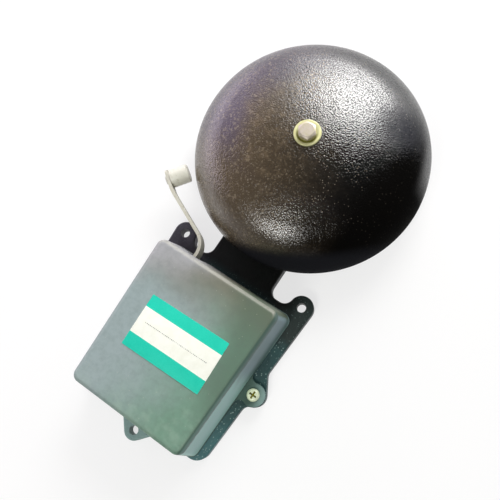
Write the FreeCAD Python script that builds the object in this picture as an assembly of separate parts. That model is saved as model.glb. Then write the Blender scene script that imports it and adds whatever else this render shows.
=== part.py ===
"""Mains electric bell for a wall or a bench board.

A hammer on a leaf spring, worked by a coil, strikes a dished gong.

Units are millimetres.  X runs to the right and Y towards the gong when the bell is seen from the front, and Z
points out of the mounting surface.  The origin lies midway between the two upper fixing holes, on the plane
of the back.  The cast base carries everything.  An E core of laminations with one coil stands on it under a
moulded cover, beside an armature that hangs on a leaf spring.  The hammer arm is riveted to the armature,
leaves the cover through a notch in its upper wall and bends round to the side of the gong.
"""

import FreeCAD, Part
import math
import os

V = FreeCAD.Vector
X_AXIS, Y_AXIS, Z_AXIS = V(1, 0, 0), V(0, 1, 0), V(0, 0, 1)

# ---------------------------------------------------------------- driving dimensions
# Clearances
fit_gap = 0.1            # screw, rivet and spigot in its hole, on the radius
seat_gap = 0.4           # piece that drops inside another
running_gap = 0.4        # moving piece at the end of its swing
cut_over = 1.0           # every cutter reaches this far beyond the surface it opens
same_place = 1e-4        # two coordinates closer than this are one

# Fixings of the base to the wall
fixing_spacing = 92.0    # between the two upper holes
fixing_hole_radius = 3.0
ear_radius = 7.9
lower_ear_radius = 6.6
lower_ear_drop = 7.6     # lower hole below the edge of the cover
lower_ear_root = 14.0    # half the width of its root at the flange

# Base casting, hollow at the back
base_height = 8.0
base_plate = 3.0
base_skirt = 3.0
base_edge_radius = 1.2
flange_top_margin = 4.5  # base beyond the cover's upper edge
flange_end_margin = 1.2  # base beyond the cover's lower edge
flange_side_end = 5.0    # base beyond the cover's side, at its lower edge
flange_corner = 9.0
neck_width = 47.0
web_radius = 6.0         # inward corners of the base's outline
screw_ear_margin = 0.4   # base's ear beyond the cover's ear
screw_ear_ramp = 15.0    # root of that ear from its screw, on the side of the gong
screw_ear_below = 8.8    # the same on the other side
rib_thickness = 2.5
boss_radius = 4.5
boss_foot_gap = 1.0      # inner bosses and ribs stop short of the wall
rim_height = 2.0         # ridge that centres the cover
rim_thickness = 1.8

# Moulded cover
cover_wall = 1.8
cover_drop = 8.7         # its upper edge below the upper fixing holes
cover_taper = 3.3        # half-width gained from the lower edge to the upper one
cover_lean_side = 2.3    # draft of each side wall
cover_lean_end = 4.2     # draft of each end wall
cover_corner = 5.0
cover_edge_radius = 3.2
cover_headroom = 3.2
cover_side_room = 4.65
cover_end_room = 4.95
cover_ear_radius = 7.3
cover_ear_thickness = 2.5
cover_ear_web = 4.0
cover_ear_root = 11.7     # width of the ear where it meets the cover's side
cover_screw_outset = 7.4  # screw beyond the cover's foot
hook_ledge = 3.0          # cover's ledge for the hook, in from its wall
hook_ledge_thickness = 2.0
hook_length = 12.0
hook_reach = 2.0          # hook over the ledge
hook_thickness = 2.4
hook_lip = 1.6
notch_side_gap = 2.2      # round the hammer arm
label_width = 54.0
label_length = 33.5
label_right = 1.7        # label off the middle of the cover
label_up = 1.6
label_turn = 1.3         # degrees, as it was stuck on
label_thickness = 0.3

# Gong
gong_radius = 75.0
gong_height = 42.5        # from rim to crown, outside
gong_skirt = 4.0          # straight part at the rim
gong_crown_radius = 168.0
gong_thickness = 2.5
gong_gap = 16.8           # between the cover's upper edge and the rim
gong_hole_radius = 3.3
rim_round = 0.8

# Gong post and its fastenings
post_radius = 7.0
post_hex = 12.6           # across the flats for the spanner
post_hex_foot = 7.0       # from the boss to the flats
post_hex_length = 7.0
post_spigot_depth = 2.0
post_boss_height = 7.0    # above the base plate
post_boss_top_radius = 10.0
post_boss_foot_radius = 14.0
gong_bolt_radius = 3.0
gong_bolt_depth = 14.0
gong_bolt_hex = 10.0
gong_bolt_head = 3.0
gong_bolt_top = 8.2       # round flat on top of the head
gong_bolt_bevel = 25.0    # degrees, from that flat down to the corners
gong_bolt_turn = 4.0      # degrees, from +X to a corner, as it was tightened
gong_washer_radius = 8.2
gong_washer_thickness = 1.2
gong_washer_round = 0.5
spring_washer_radius = 5.4
spring_washer_thickness = 1.0
spring_washer_split = 0.8
seat_washer_radius = 9.0
seat_washer_thickness = 1.0
post_screw_radius = 3.0
post_screw_depth = 12.0
post_screw_head_radius = 5.0
post_screw_head = 3.0

# Core, a stack of E laminations, and its coil
lamination_count = 20
lamination_thickness = 1.0
outer_leg = 8.0
centre_leg = 14.0
window_width = 9.0
window_depth = 26.0
yoke = 8.0
core_screw_radius = 1.5
core_screw_grip = 6.0     # thread in the base
core_screw_setback = 6.0  # first pair, behind the pole faces
bobbin_wall = 1.2
bobbin_gap = 0.2
bobbin_flange = 1.5
bobbin_setback = 1.0      # behind the pole faces
winding_height = 6.2
flange_lip = 0.4          # flange beyond the winding
winding_corner = 2.5
wrap_thickness = 0.4
wrap_margin = 2.0
coil_floor_gap = 0.9

# Hammer: armature, leaf spring, arm and clapper
arm_offset = 24.0         # the arm's straight part, left of the middle
arm_thickness = 2.0
arm_width = 10.0
arm_bend_radius = 13.0
arm_reverse_radius = 30.0
arm_slant = 25.0          # degrees above the horizontal, outside the cover
arm_tail = 6.0            # strip beyond the clapper's middle
arm_tip_round = 3.5
arm_rise = 9.0            # from the reverse bend to the clapper's middle
armature_below_edge = 23.75
armature_thickness = 7.0
armature_width = 18.0
armature_overhang = 1.0
armature_edge_round = 1.0
leaf_thickness = 0.6
leaf_width = 16.0
leaf_free = 8.0
leaf_grip = 30.0          # length riveted to the armature
rivet_radius = 2.0
rivet_head_radius = 3.4
rivet_head = 1.2
rivet_head_round = 0.8
rivet_inset = 7.0
clapper_radius = 6.0
clapper_length = 12.5
clapper_chamfer = 0.6
clapper_tail_radius = 2.5
clapper_peen_radius = 3.8
clapper_peen = 1.2
strike_height = 8.0       # clapper's axis above the gong's rim
strike_bearing = 219.7    # degrees, where the clapper meets the gong
clapper_lie = 52.0        # degrees, direction of the clapper's axis
strike_touch = 0.2        # left between clapper and gong where the swing ends
swing_in = 1.4            # degrees, towards the gong
swing_back = 0.6          # degrees, away from it

# Post and clamp of the leaf spring
clamp_length = 12.0
clamp_plate = 2.0
clamp_screw_radius = 1.5
clamp_screw_pitch = 9.0
leaf_post_thickness = 7.0
leaf_post_top = 1.0       # above the leaf
leaf_post_foot = 22.0
leaf_post_foot_height = 3.0
foot_screw_radius = 2.0
foot_screw_inset = 5.5

# Stop behind the arm
stop_below_top = 4.0      # under the armature's upper end
stop_screw_radius = 1.5
stop_screw_length = 11.4
stop_slot_width = 0.75
stop_slot_depth = 0.9
stop_pad_hold = 1.0       # of the screw inside its rubber cap
stop_pad_radius = 2.4
stop_pad_length = 2.0
stop_wall = 3.0
stop_wall_width = 12.0
stop_wall_back = 5.0      # of the screw's outer end, to the wall's face
stop_wall_round = 4.2
stop_foot = 11.0
stop_nut_hex = 5.5
stop_nut_height = 2.4

# Terminal block, cable grommet and earth screw
block_width = 28.0
block_depth = 14.0
block_height = 7.0
barrier_height = 5.0
barrier_thickness = 1.5
pole_width = 8.0
pole_plate = 1.0
pole_margin = 1.5         # pole plate inside the block's lower edge
pole_back_margin = 0.75   # the same at its upper edge
terminal_floor = 1.0      # of the block, under its terminal screws
block_below_armature = 11.0
block_side_room = 1.0
terminal_screw_radius = 1.5
terminal_screw_pitch = 7.0
grommet_hole_radius = 5.0
grommet_bore_radius = 3.5
grommet_flange_radius = 6.8
grommet_flange = 1.4
grommet_flange_round = 0.7
grommet_below_middle = 12.0
earth_screw_radius = 2.0
earth_washer_radius = 4.5
earth_washer_thickness = 0.8
earth_inset = 11.0
pole_tag = 4.0            # of each terminal plate, beyond the block
pole_tag_width = 4.0
lead_radius = 0.8
lead_clearance = 4.0      # beside the yoke
lead_above_core = 4.34    # where a lead leaves the bobbin
lead_off_middle = 4.67
lead_bends = (3.5, 4.5, 3.0, 2.4)  # radius of each bend, from the bobbin on
lead_middle_rise = 2.0    # of the second run above the middle of the fall
lead_approach = 2.4       # length of the last fall
lead_drop = 8.0           # height of the last fall of a lead to its tag
lead_end_gap = 0.3

# Pan heads, as multiples of the shank's radius
pan_head_width = 2.0
pan_head_height = 1.3
pan_head_round = 0.78
cross_half_length = 1.24
cross_half_width = 0.28
cross_depth = 0.65

# ---------------------------------------------------------------- places worked out from them
# Heights
stack_height = lamination_count * lamination_thickness
winding_out = bobbin_gap + bobbin_wall + winding_height
coil_half_height = stack_height / 2 + winding_out + flange_lip
mech_z = base_height + coil_floor_gap + coil_half_height
cover_inner_top = mech_z + coil_half_height + cover_headroom
cover_top = cover_inner_top + cover_wall
gong_rim_z = mech_z - strike_height
gong_crown_z = gong_rim_z + gong_height
plate_under = base_height - base_plate

# Down the cover: armature, leaf, clamp and terminal block
core_length = 2 * outer_leg + 2 * window_width + centre_leg
armature_length = core_length + 2 * armature_overhang
cover_top_y = -cover_drop
armature_top_y = cover_top_y - armature_below_edge
armature_end_y = armature_top_y - armature_length
core_y = armature_top_y - armature_length / 2
pivot_y = armature_end_y - leaf_free / 2
clamp_top_y = armature_end_y - leaf_free
clamp_end_y = clamp_top_y - clamp_length
block_top_y = armature_end_y - block_below_armature
block_end_y = block_top_y - block_depth
cover_end_y = min(block_end_y, clamp_end_y) - cover_end_room - cover_wall
cover_y = (cover_top_y + cover_end_y) / 2
cover_foot_length = cover_top_y - cover_end_y
lower_hole_y = cover_end_y - lower_ear_drop

# Across the cover: stop, arm, leaf, armature, core
arm_x = -arm_offset
leaf_x = arm_x + arm_thickness / 2
armature_x = leaf_x + leaf_thickness
pivot_x = leaf_x + leaf_thickness / 2
pole_gap = (armature_top_y - pivot_y) * math.sin(math.radians(swing_in)) + running_gap
pole_x = armature_x + armature_thickness + pole_gap
core_end_x = pole_x + window_depth + yoke
stop_y = armature_top_y - stop_below_top
stop_gap = (stop_y - pivot_y) * math.sin(math.radians(swing_back)) + running_gap / 2
stop_tip_x = arm_x - arm_thickness / 2 - stop_gap
stop_end_x = stop_tip_x - stop_screw_length
cover_inner_half = -stop_end_x + cover_side_room
cover_foot_width = 2 * (cover_inner_half + cover_wall)


def cover_half(y):
    """Half the cover's width at its foot, at a distance down the cover."""
    return cover_foot_width / 2 + cover_taper * (y - cover_y) / cover_foot_length


block_edge = cover_half(block_end_y) - cover_wall - seat_gap - rim_thickness - block_side_room
block_x = block_edge - block_width / 2
grommet_x = (core_end_x + cover_inner_half) / 2
grommet_y = core_y - grommet_below_middle
cover_screw_x = cover_foot_width / 2 + cover_screw_outset
ledge_x = cover_wall + hook_ledge - cover_half(cover_y)
ledge_z = base_height + rim_height + seat_gap

# Poles of the terminal block
block_y = (block_top_y + block_end_y) / 2
pole_pitch = block_width - 2 * barrier_thickness - pole_width
pole_lane = pole_pitch - pole_width
poles_at = [block_x + s * pole_pitch / 2 for s in (-1, 1)]
terminals_at = [(x, block_y + s * terminal_screw_pitch / 2) for x in poles_at for s in (-1, 1)]

# Gong and hammer in plan
gong_y = cover_top_y + gong_gap + gong_radius


def unit(degrees):
    """A direction in the XY plane, counted from +X."""
    return V(math.cos(math.radians(degrees)), math.sin(math.radians(degrees)), 0)


clapper_dir = unit(clapper_lie)
outward = unit(strike_bearing)
gong_side = V(0, gong_y, 0) + outward * gong_radius
lever = gong_side - V(pivot_x, pivot_y, 0)
approach = -V(lever.y, -lever.x, 0).dot(outward)
tilt = math.radians(abs(clapper_lie - swing_in - strike_bearing + 180))
face_radius = clapper_radius - clapper_chamfer
corner_lead = face_radius * math.sin(tilt) - (face_radius * math.cos(tilt)) ** 2 / (2 * gong_radius)
strike_gap = math.radians(swing_in) * approach + corner_lead + strike_touch
clapper_face = V(0, gong_y, 0) + outward * (gong_radius + strike_gap)
clapper_seat = clapper_face - clapper_dir * clapper_length
strip_dir = unit(clapper_lie + 90)
strip_seat = clapper_seat - clapper_dir * (arm_thickness / 2)
reverse_corner = strip_seat - strip_dir * arm_rise
arm_tip = strip_seat + strip_dir * arm_tail
bend_corner = V(arm_x, reverse_corner.y - math.tan(math.radians(arm_slant)) * (arm_x - reverse_corner.x), 0)


# ---------------------------------------------------------------- general helpers
def block(x0, x1, y0, y1, z0, z1):
    """A box between two corners."""
    return Part.makeBox(x1 - x0, y1 - y0, z1 - z0, V(x0, y0, z0))


def rod(x, y, z0, z1, radius):
    """A cylinder along Z."""
    return Part.makeCylinder(radius, z1 - z0, V(x, y, z0))


def rod_x(x0, x1, y, z, radius):
    """A cylinder along X."""
    return Part.makeCylinder(radius, x1 - x0, V(x0, y, z), X_AXIS)


def ring(x, y, z0, z1, outer, inner):
    """A flat washer or tube along Z."""
    return rod(x, y, z0, z1, outer).cut(rod(x, y, z0, z1, inner))


def hexagon(x, y, z0, z1, across_flats, turn=30):
    """A hexagonal prism along Z, one of its corners at turn degrees from +X."""
    corner = across_flats / math.sqrt(3)
    points = [V(x, y, z0) + unit(turn + 60 * k) * corner for k in range(7)]
    return Part.Face(Part.makePolygon(points)).extrude(V(0, 0, z1 - z0))


def disc(x, y, radius):
    """A flat round face in the back plane."""
    return Part.Face(Part.Wire(Part.makeCircle(radius, V(x, y, 0))))


def polygon(points):
    """A flat face in the back plane through (x, y) points."""
    corners = [V(x, y, 0) for x, y in points]
    return Part.Face(Part.makePolygon(corners + corners[:1]))


def rectangle(x0, x1, y0, y1):
    """A flat rectangle in the back plane."""
    return polygon([(x0, y0), (x1, y0), (x1, y1), (x0, y1)])


def corner_arc(before, corner, after, radius):
    """The first, middle and last point of the arc that rounds a corner."""
    to_back = (before - corner).normalize()
    to_next = (after - corner).normalize()
    half = math.acos(max(-1.0, min(1.0, to_back.dot(to_next)))) / 2
    cut = radius / math.tan(half)
    middle = corner + (to_back + to_next).normalize() * (radius / math.sin(half) - radius)
    return corner + to_back * cut, middle, corner + to_next * cut


def rounded_loop(corners, radius):
    """A closed outline through the corners, each rounded to radius."""
    arcs = [corner_arc(corners[n - 1], corners[n], corners[(n + 1) % len(corners)], radius)
            for n in range(len(corners))]
    edges = []
    for n, (first, middle, last) in enumerate(arcs):
        edges.append(Part.Arc(first, middle, last).toShape())
        edges.append(Part.LineSegment(last, arcs[(n + 1) % len(arcs)][0]).toShape())
    return Part.Wire(edges)


def rounded_wire(width, length, radius, x, y, z):
    """The outline of a rectangle with round corners."""
    signs = ((1, 1), (-1, 1), (-1, -1), (1, -1))
    return rounded_loop([V(x + sx * width / 2, y + sy * length / 2, z) for sx, sy in signs], radius)


def merged_face(faces):
    """One flat face that covers all the given ones."""
    joined = faces[0].fuse(faces[1:]).removeSplitter()
    if len(joined.Faces) != 1:
        raise ValueError("the faces don't join into one")
    return Part.Face(joined.Faces[0].OuterWire)


def touch(x, y, radius, point, side):
    """Where a line from a point touches a circle, counterclockwise (1) or clockwise (-1) of that point."""
    to_point = V(point[0] - x, point[1] - y, 0)
    angle = math.atan2(to_point.y, to_point.x) + side * math.acos(radius / to_point.Length)
    return x + radius * math.cos(angle), y + radius * math.sin(angle)


def lobe(x, y, radius, first, last):
    """A round ear whose sides run straight to two root points, given counterclockwise."""
    sides = polygon([first, touch(x, y, radius, first, 1), touch(x, y, radius, last, -1), last])
    return merged_face([disc(x, y, radius), sides])


def webbed(face, radius):
    """The face with its inward corners rounded to radius."""
    return face.makeOffset2D(radius).Faces[0].makeOffset2D(-radius).Faces[0]


def prism(face, z0, z1):
    """A flat face of the back plane, stood up between two heights."""
    solid = face.extrude(V(0, 0, z1 - z0))
    solid.translate(V(0, 0, z0))
    return solid


def edges_at(shape, z):
    """The edges that lie wholly at one height."""
    return [e for e in shape.Edges if max(abs(e.BoundBox.ZMin - z), abs(e.BoundBox.ZMax - z)) < same_place]


def cross_slot(radius):
    """The cross recess in the head of a screw with this shank, its mouth at Z = 0."""
    long_half = radius * cross_half_length
    short_half = radius * cross_half_width
    depth = radius * cross_depth
    first = block(-long_half, long_half, -short_half, short_half, -depth, depth)
    second = block(-short_half, short_half, -long_half, long_half, -depth, depth)
    return first.fuse(second)


def pan_screw(x, y, seat_z, radius, grip):
    """A cross-recessed pan screw along Z: its head stands on seat_z and its shank goes down by grip."""
    head_height = radius * pan_head_height
    head = rod(0, 0, 0, head_height, radius * pan_head_width)
    head = head.makeFillet(radius * pan_head_round, edges_at(head, head_height))
    slot = cross_slot(radius)
    slot.translate(V(0, 0, head_height))
    screw = head.cut(slot).fuse(rod(0, 0, -grip, 0, radius)).removeSplitter()
    screw.translate(V(x, y, seat_z))
    return screw


def turned_to_x(shape, x, y, z, side):
    """A shape made along Z at the origin, laid along X: side 1 points its top to +X, side -1 to -X."""
    laid = shape.copy()
    laid.rotate(V(0, 0, 0), Y_AXIS, 90 * side)
    laid.translate(V(x, y, z))
    return laid


def rounded_path(points, radii):
    """A wire of straight runs with an arc of the given radius at each inner point."""
    edges, start = [], points[0]
    for before, corner, after, radius in zip(points, points[1:], points[2:], radii):
        first, middle, last = corner_arc(before, corner, after, radius)
        edges.append(Part.LineSegment(start, first).toShape())
        edges.append(Part.Arc(first, middle, last).toShape())
        start = last
    edges.append(Part.LineSegment(start, points[-1]).toShape())
    return Part.Wire(edges)


def tube_along(points, radii, radius):
    """A round wire along a rounded path."""
    path = rounded_path(points, radii)
    tangent = (points[1] - points[0]).normalize()
    section = Part.Wire(Part.makeCircle(radius, points[0], tangent))
    return path.makePipeShell([section], True, False)


# ---------------------------------------------------------------- base and its bosses
upper_ears = [(s * fixing_spacing / 2, 0.0) for s in (-1, 1)]
cover_screws_at = [(cover_screw_x, cover_y)]
core_screws_at = [
    (x, core_y + s * (core_length - outer_leg) / 2)
    for x in (pole_x + core_screw_setback, core_end_x - yoke / 2)
    for s in (-1, 1)
]
foot_left = armature_x + leaf_post_thickness
clamp_y = (clamp_top_y + clamp_end_y) / 2
foot_insets = (foot_screw_inset, leaf_post_foot - foot_screw_inset)
foot_screws_at = [(foot_left + inset, clamp_y) for inset in foot_insets]
stop_wall_x = stop_end_x + stop_wall_back
stop_foot_y0 = stop_y - stop_wall_width / 2
stop_screws_at = [(stop_wall_x + stop_wall / 2, stop_foot_y0 - stop_foot / 2)]
block_screws_at = [(block_x, block_y + s * terminal_screw_pitch / 2) for s in (-1, 1)]
earth_at = (-cover_half(cover_end_y) + earth_inset, cover_end_y + earth_inset)


def base_outline():
    """The base seen from the front: flange, ears, neck and the round end under the gong."""
    top_y = cover_top_y + flange_top_margin
    end_y = cover_end_y - flange_end_margin
    end_half = cover_half(cover_end_y) + flange_side_end
    ear_x, ear_y = upper_ears[1]
    side_x, side_y = touch(ear_x, ear_y, ear_radius, (end_half, end_y), 1)

    def side(y):
        """The point of the flange's right side at a height, on a line that touches the upper ear."""
        return end_half + (side_x - end_half) * (y - end_y) / (side_y - end_y), y

    top_half = side(top_y)[0]
    corners = [(-top_half, top_y), (-end_half, end_y), (end_half, end_y), (top_half, top_y)]
    flange = Part.Face(rounded_loop([V(x, y, 0) for x, y in corners], flange_corner))
    root_x, root_y = side(top_y - 2 * flange_corner)
    inner_x = ear_x - ear_radius
    ears = [
        lobe(ear_x, ear_y, ear_radius, (root_x, root_y), (inner_x, top_y)),
        lobe(-ear_x, ear_y, ear_radius, (-inner_x, top_y), (-root_x, root_y)),
        lobe(cover_screw_x, cover_y, cover_ear_radius + screw_ear_margin, side(cover_y - screw_ear_below),
             side(cover_y + screw_ear_ramp)),
        lobe(0, lower_hole_y, lower_ear_radius, (-lower_ear_root, end_y), (lower_ear_root, end_y)),
    ]
    neck = rectangle(-neck_width / 2, neck_width / 2, top_y - flange_corner, gong_y)
    end = disc(0, gong_y, neck_width / 2)
    return webbed(merged_face([flange, neck, end] + ears), web_radius)


def base_ribs():
    """Ribs on the hollow back: two along the neck, and a lattice under the cover."""
    z0, z1, t = boss_foot_gap, plate_under, rib_thickness / 2
    along = neck_width / 4
    ribs = [block(s * along - t, s * along + t, cover_end_y, gong_y, z0, z1) for s in (-1, 1)]
    reach = cover_foot_width / 2
    for y in (cover_top_y, core_y, clamp_y):
        ribs.append(block(-reach, reach, y - t, y + t, z0, z1))
    return ribs


def cover_hook():
    """The hook that holds down the cover's side without a screw, by the ledge inside it."""
    y0, y1 = cover_y - hook_length / 2, cover_y + hook_length / 2
    back_x = ledge_x + seat_gap + hook_thickness
    under = ledge_z + hook_ledge_thickness + 2 * fit_gap
    upright = block(back_x - hook_thickness, back_x, y0, y1, plate_under, under)
    return upright.fuse(block(ledge_x - hook_reach, back_x, y0, y1, under, under + hook_lip))


def base_casting():
    outline = base_outline()
    casting = prism(outline, 0, base_height)
    casting = casting.makeFillet(base_edge_radius, edges_at(casting, base_height))
    hollow = outline.makeOffset2D(-base_skirt).Faces[0]
    casting = casting.cut(prism(hollow, 0, plate_under))

    additions = base_ribs() + [cover_hook()]
    for x, y in upper_ears:
        additions.append(rod(x, y, 0, plate_under, ear_radius - base_edge_radius))
    additions.append(rod(0, lower_hole_y, 0, plate_under, lower_ear_radius - base_edge_radius))
    for x, y in cover_screws_at:
        additions.append(rod(x, y, 0, plate_under, cover_ear_radius - base_edge_radius))
    for x, y in foot_screws_at + stop_screws_at + block_screws_at + [earth_at]:
        additions.append(rod(x, y, boss_foot_gap, plate_under, boss_radius))
    for x, y in core_screws_at:
        additions.append(rod(x, y, boss_foot_gap, mech_z - stack_height / 2, outer_leg / 2))

    centring = Part.Face(cover_outline(cover_wall, 0, 0)).makeOffset2D(-seat_gap).Faces[0]
    inside = centring.makeOffset2D(-rim_thickness).Faces[0]
    ridge_foot = base_height - base_plate / 2
    ridge = prism(centring, ridge_foot, base_height + rim_height)
    additions.append(ridge.cut(prism(inside, ridge_foot, base_height + rim_height)))

    boss_top = base_height + post_boss_height
    additions.append(Part.makeCone(post_boss_foot_radius, post_boss_top_radius, post_boss_height,
                                   V(0, gong_y, base_height)))
    additions.append(rod(0, gong_y, boss_foot_gap, base_height, post_boss_top_radius))
    casting = casting.fuse(additions).removeSplitter()

    top = base_height + cut_over
    cuts = [rod(x, y, -cut_over, top, fixing_hole_radius) for x, y in upper_ears + [(0.0, lower_hole_y)]]
    cuts += [rod(x, y, -cut_over, top, foot_screw_radius + fit_gap) for x, y in cover_screws_at]
    cuts += [rod(x, y, 0, top, foot_screw_radius + fit_gap) for x, y in foot_screws_at + stop_screws_at]
    cuts += [rod(x, y, 0, top, terminal_screw_radius + fit_gap) for x, y in block_screws_at]
    cuts += [rod(*earth_at, 0, top, earth_screw_radius + fit_gap)]
    core_foot = mech_z - stack_height / 2
    thread_end = core_foot - core_screw_grip - cut_over
    cuts += [rod(x, y, thread_end, core_foot + cut_over, core_screw_radius + fit_gap)
             for x, y in core_screws_at]
    cuts += [rod(grommet_x, grommet_y, 0, top, grommet_hole_radius)]
    cuts += [rod(0, gong_y, boss_top - post_spigot_depth, boss_top + cut_over, post_radius + fit_gap)]
    cuts += [rod(0, gong_y, 0, boss_top, post_screw_radius + fit_gap)]
    cuts += [rod(0, gong_y, 0, boss_foot_gap + post_screw_head, post_screw_head_radius + fit_gap)]
    return casting.cut(cuts)


# ---------------------------------------------------------------- gong, its post and fastenings
post_foot_z = base_height + post_boss_height - post_spigot_depth
post_top_z = gong_crown_z - gong_thickness - seat_washer_thickness


def gong_profile(inset):
    """Half the section of the gong, drawn in by inset: crown arc, shoulder arc and the skirt's end points."""
    rise = gong_height - gong_skirt
    crown = gong_crown_radius
    shoulder = (2 * rise * crown - gong_radius ** 2 - rise ** 2) / (2 * (crown - gong_radius))
    middle_r = gong_radius - shoulder
    crown_z = gong_crown_z - crown
    shoulder_z = gong_rim_z + gong_skirt
    lean = math.atan2(middle_r, shoulder_z - crown_z)
    crown, shoulder = crown - inset, shoulder - inset

    def on_crown(angle):
        return V(crown * math.sin(angle), 0, crown_z + crown * math.cos(angle))

    def on_shoulder(angle):
        return V(middle_r + shoulder * math.sin(angle), 0, shoulder_z + shoulder * math.cos(angle))

    side = math.pi / 2
    arcs = [
        Part.Arc(on_crown(0), on_crown(lean / 2), on_crown(lean)).toShape(),
        Part.Arc(on_shoulder(lean), on_shoulder((lean + side) / 2), on_shoulder(side)).toShape(),
    ]
    return arcs, on_crown(0), on_shoulder(side)


def gong():
    """The dished shell, with its rim rounded and a hole for the bolt."""
    outer, outer_crown, outer_side = gong_profile(0)
    inner, inner_crown, inner_side = gong_profile(gong_thickness)
    outer_rim = V(gong_radius, 0, gong_rim_z)
    inner_rim = V(gong_radius - gong_thickness, 0, gong_rim_z)
    side_line = [outer_side, outer_rim, inner_rim, inner_side]
    straight = list(zip(side_line, side_line[1:])) + [(inner_crown, outer_crown)]
    edges = outer + inner + [Part.LineSegment(a, b).toShape() for a, b in straight]
    section = Part.Face(Part.Wire(Part.__sortEdges__(edges)))
    shell = section.revolve(V(0, 0, 0), Z_AXIS, 360)
    shell = shell.makeFillet(rim_round, edges_at(shell, gong_rim_z))
    shell.translate(V(0, gong_y, 0))
    return shell.cut(rod(0, gong_y, gong_rim_z, gong_crown_z + cut_over, gong_hole_radius))


def gong_post():
    """A turned steel post, tapped at both ends, with a hexagon for the spanner."""
    post = rod(0, gong_y, post_foot_z, post_top_z, post_radius)
    hex_z = base_height + post_boss_height + post_hex_foot
    flats = rod(0, gong_y, hex_z, hex_z + post_hex_length, post_radius)
    flats = flats.cut(hexagon(0, gong_y, hex_z - cut_over, hex_z + post_hex_length + cut_over, post_hex))
    bolt_end = post_top_z - gong_bolt_depth
    screw_end = post_foot_z + post_screw_depth
    bolt_hole = rod(0, gong_y, bolt_end, post_top_z + cut_over, gong_bolt_radius + fit_gap)
    screw_hole = rod(0, gong_y, post_foot_z - cut_over, screw_end, post_screw_radius + fit_gap)
    return post.cut([flats, bolt_hole, screw_hole])


def post_screw():
    """The screw that holds the post from the back of the base."""
    seat_z = boss_foot_gap + post_screw_head
    head = rod(0, gong_y, boss_foot_gap, seat_z, post_screw_head_radius)
    socket_z = boss_foot_gap + post_screw_head / 2
    head = head.cut(hexagon(0, gong_y, boss_foot_gap - cut_over, socket_z, post_screw_head_radius))
    shank = rod(0, gong_y, seat_z, post_foot_z + post_screw_depth - running_gap, post_screw_radius)
    return head.fuse(shank).removeSplitter()


def gong_bolt():
    """Hexagon bolt, its head bevelled from a round flat down to the corners."""
    washers = gong_washer_thickness + spring_washer_thickness
    seat_z = gong_crown_z + washers
    head = hexagon(0, gong_y, seat_z, seat_z + gong_bolt_head, gong_bolt_hex, gong_bolt_turn)
    flat_r = gong_bolt_top / 2
    foot_r = flat_r + gong_bolt_head / math.tan(math.radians(gong_bolt_bevel))
    dome = Part.makeCone(foot_r, flat_r, gong_bolt_head, V(0, gong_y, seat_z))
    shank_end = post_top_z - gong_bolt_depth + running_gap
    return head.common(dome).fuse(rod(0, gong_y, shank_end, seat_z, gong_bolt_radius)).removeSplitter()


def spring_washer():
    """A split lock washer."""
    z0 = gong_crown_z + gong_washer_thickness
    z1 = z0 + spring_washer_thickness
    washer = ring(0, gong_y, z0, z1, spring_washer_radius, gong_bolt_radius + fit_gap)
    half = spring_washer_split / 2
    return washer.cut(block(0, spring_washer_radius + cut_over, gong_y - half, gong_y + half, z0 - cut_over,
                            z1 + cut_over))


def gong_washer():
    top = gong_crown_z + gong_washer_thickness
    blank = rod(0, gong_y, gong_crown_z, top, gong_washer_radius)
    blank = blank.makeFillet(gong_washer_round, edges_at(blank, top))
    return blank.cut(rod(0, gong_y, gong_crown_z - cut_over, top + cut_over, gong_bolt_radius + fit_gap))


def gong_seat_washer():
    """Fibre washer between post and gong, dished to the gong's curve."""
    washer = ring(0, gong_y, post_top_z, gong_crown_z - gong_thickness, seat_washer_radius,
                  gong_bolt_radius + fit_gap)
    crown_middle = V(0, gong_y, gong_crown_z - gong_crown_radius)
    return washer.common(Part.makeSphere(gong_crown_radius - gong_thickness, crown_middle))


# ---------------------------------------------------------------- cover and label
def cover_outline(inset, lean, z):
    """The cover's outline, wider at its upper edge, drawn in by inset and by a share of its draft."""
    corners = []
    for sx, sy in ((1, 1), (-1, 1), (-1, -1), (1, -1)):
        y = cover_top_y if sy > 0 else cover_end_y
        half = cover_half(y) - inset - cover_lean_side * lean
        corners.append(V(sx * half, y - sy * (inset + cover_lean_end * lean), z))
    return rounded_loop(corners, cover_corner - inset)


def cover_shell(inset, top_z):
    """The cover's tapered block, drawn in by inset, with its upper edges rounded."""
    foot = cover_outline(inset, 0, base_height)
    face = cover_outline(inset, (top_z - base_height) / (cover_top - base_height), top_z)
    body = Part.makeLoft([foot, face], True, True)
    return body.makeFillet(cover_edge_radius - inset, edges_at(body, top_z))


def cover():
    outer = cover_shell(0, cover_top)
    foot_face = Part.Face(cover_outline(0, 0, 0))
    ears = [disc(x, y, cover_ear_radius) for x, y in cover_screws_at]
    half = cover_ear_root / 2
    arms = [rectangle(min(x, 0), max(x, 0), y - half, y + half) for x, y in cover_screws_at]
    plate = webbed(merged_face([foot_face] + arms + ears), cover_ear_web)
    plate = prism(plate, base_height, base_height + cover_ear_thickness)
    shell = outer.fuse(plate).cut(cover_shell(cover_wall, cover_inner_top))
    ledge = block(cover_wall / 2 - cover_half(cover_y), ledge_x, cover_y - hook_length / 2,
                  cover_y + hook_length / 2, ledge_z, ledge_z + hook_ledge_thickness)
    shell = shell.fuse(ledge)
    ear_top = base_height + cover_ear_thickness
    holes = [rod(x, y, base_height - cut_over, ear_top + cut_over, foot_screw_radius + 2 * fit_gap)
             for x, y in cover_screws_at]
    reach = (cover_top_y - pivot_y) * math.sin(math.radians(swing_in))
    notch_left = arm_x - arm_thickness - notch_side_gap - reach / 2
    notch_right = arm_x + arm_thickness / 2 + notch_side_gap + reach
    notch = block(notch_left, notch_right, cover_y, cover_top_y + cut_over, base_height - cut_over,
                  mech_z + arm_width / 2 + notch_side_gap)
    return shell.cut(holes + [notch]).removeSplitter()


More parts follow.
